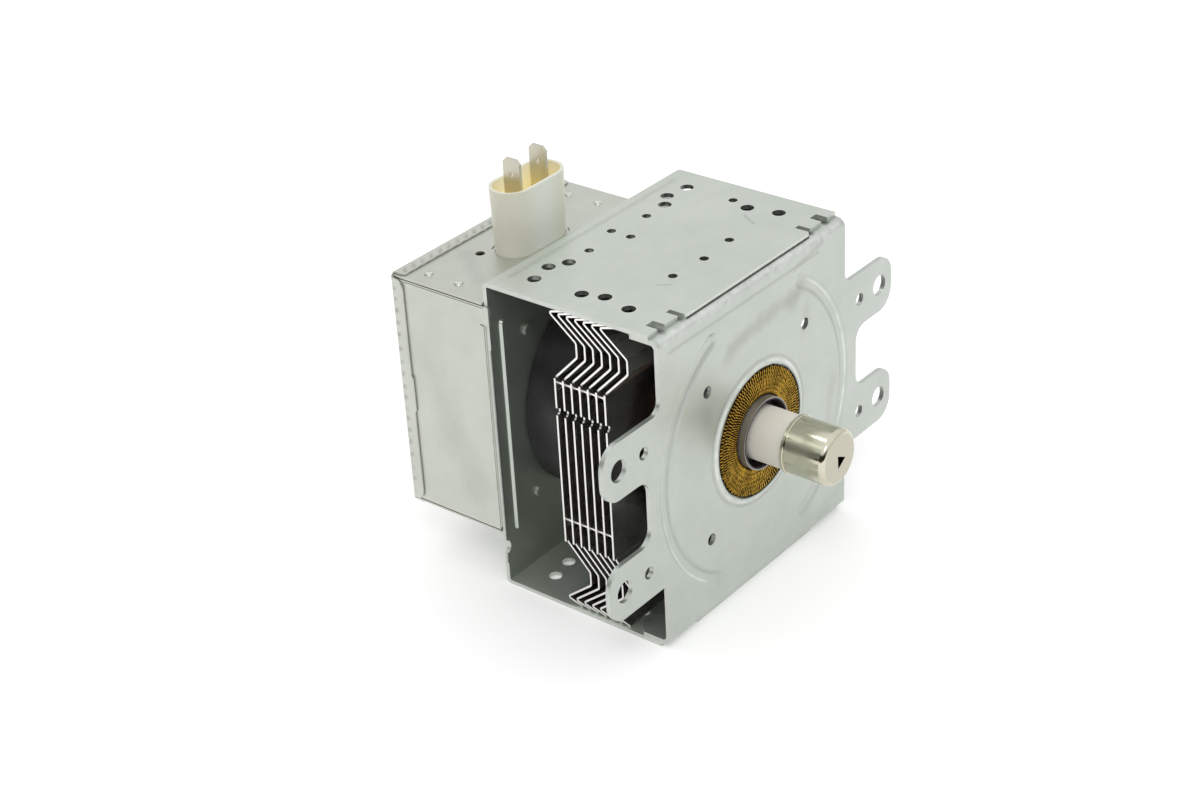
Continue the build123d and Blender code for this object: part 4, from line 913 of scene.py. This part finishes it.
def stand():
    """A wide white floor under the yoke."""
    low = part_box("yoke_frame")[0].z
    mesh = bpy.data.meshes.new("floor")
    corners = [(x * FLOOR_HALF, y * FLOOR_HALF, low) for x, y in ((-1, -1), (1, -1), (1, 1), (-1, 1))]
    mesh.from_pydata(corners, [], [(0, 1, 2, 3)])
    floor = bpy.data.objects.new("floor", mesh)
    bpy.context.scene.collection.objects.link(floor)
    material, tree, shader, _ = start_material("floor_white")
    shader.inputs["Base Color"].default_value = (*WHITE, 1.0)
    shader.inputs["Roughness"].default_value = 1.0
    shader.inputs["Specular IOR Level"].default_value = 0.0
    shader.inputs["Emission Color"].default_value = (*WHITE, 1.0)
    path = place(tree, "ShaderNodeLightPath").outputs
    mirrored = arithmetic(tree, "MAXIMUM", path["Is Glossy Ray"], path["Is Transmission Ray"])
    seen = arithmetic(tree, "MAXIMUM", path["Is Camera Ray"], mirrored)
    tree.links.new(faded(tree, seen, FLOOR_GLOW), shader.inputs["Emission Strength"])
    mesh.materials.append(material)


def daylight():
    """World: white all round at a plain level. Reflections also show a darker, low strip on the left, where
    the studio is open."""
    world = bpy.data.worlds.new("studio")
    world.use_nodes = True
    tree = world.node_tree
    tree.nodes.clear()
    toward = place(tree, "ShaderNodeTexCoord").outputs["Generated"]
    left = spread(tree, coordinate(tree, toward, "X"), -0.50, 0.0, 1.0, 0.2)
    low = spread(tree, coordinate(tree, toward, "Z"), 0.36, 0.52, 1.0, 0.0)
    hidden = arithmetic(tree, "SUBTRACT", 1.0, place(tree, "ShaderNodeLightPath").outputs["Is Camera Ray"])
    dark = arithmetic(tree, "MULTIPLY", arithmetic(tree, "MULTIPLY", low, hidden), left)
    sky = blend_colors(tree, dark, WHITE, (0.03, 0.027, 0.015))
    back = place(tree, "ShaderNodeBackground", {"Color": sky, "Strength": 1.0})
    place(tree, "ShaderNodeOutputWorld", {"Surface": back.outputs["Background"]})
    bpy.context.scene.world = world


def add_lamp(name, place_at, aim, size, power):
    """A soft square lamp at a place, turned towards a point."""
    light = bpy.data.lights.new(name, "AREA")
    light.size = size
    light.energy = power
    lamp = bpy.data.objects.new(name, light)
    bpy.context.scene.collection.objects.link(lamp)
    lamp.location = place_at
    lamp.rotation_euler = (Vector(aim) - Vector(place_at)).to_track_quat("-Z", "Y").to_euler()


def set_camera():
    """The photograph's place, angle and field of view, from a fit of its straight edges and circles."""
    camera = bpy.data.cameras.new("view")
    camera.lens = 68.25
    camera.sensor_width = 36.0
    camera.clip_start = 0.01
    camera.clip_end = 20.0
    eye = bpy.data.objects.new("view", camera)
    bpy.context.scene.collection.objects.link(eye)
    eye.location = (-385.31 * MM, -273.91 * MM, 281.58 * MM)
    eye.rotation_euler = (math.radians(60.105), math.radians(2.882), math.radians(-51.664))
    bpy.context.scene.camera = eye


stand()
daylight()
for lamp in LAMPS:
    add_lamp(*lamp)
set_camera()
bpy.context.scene.view_settings.view_transform = "Standard"
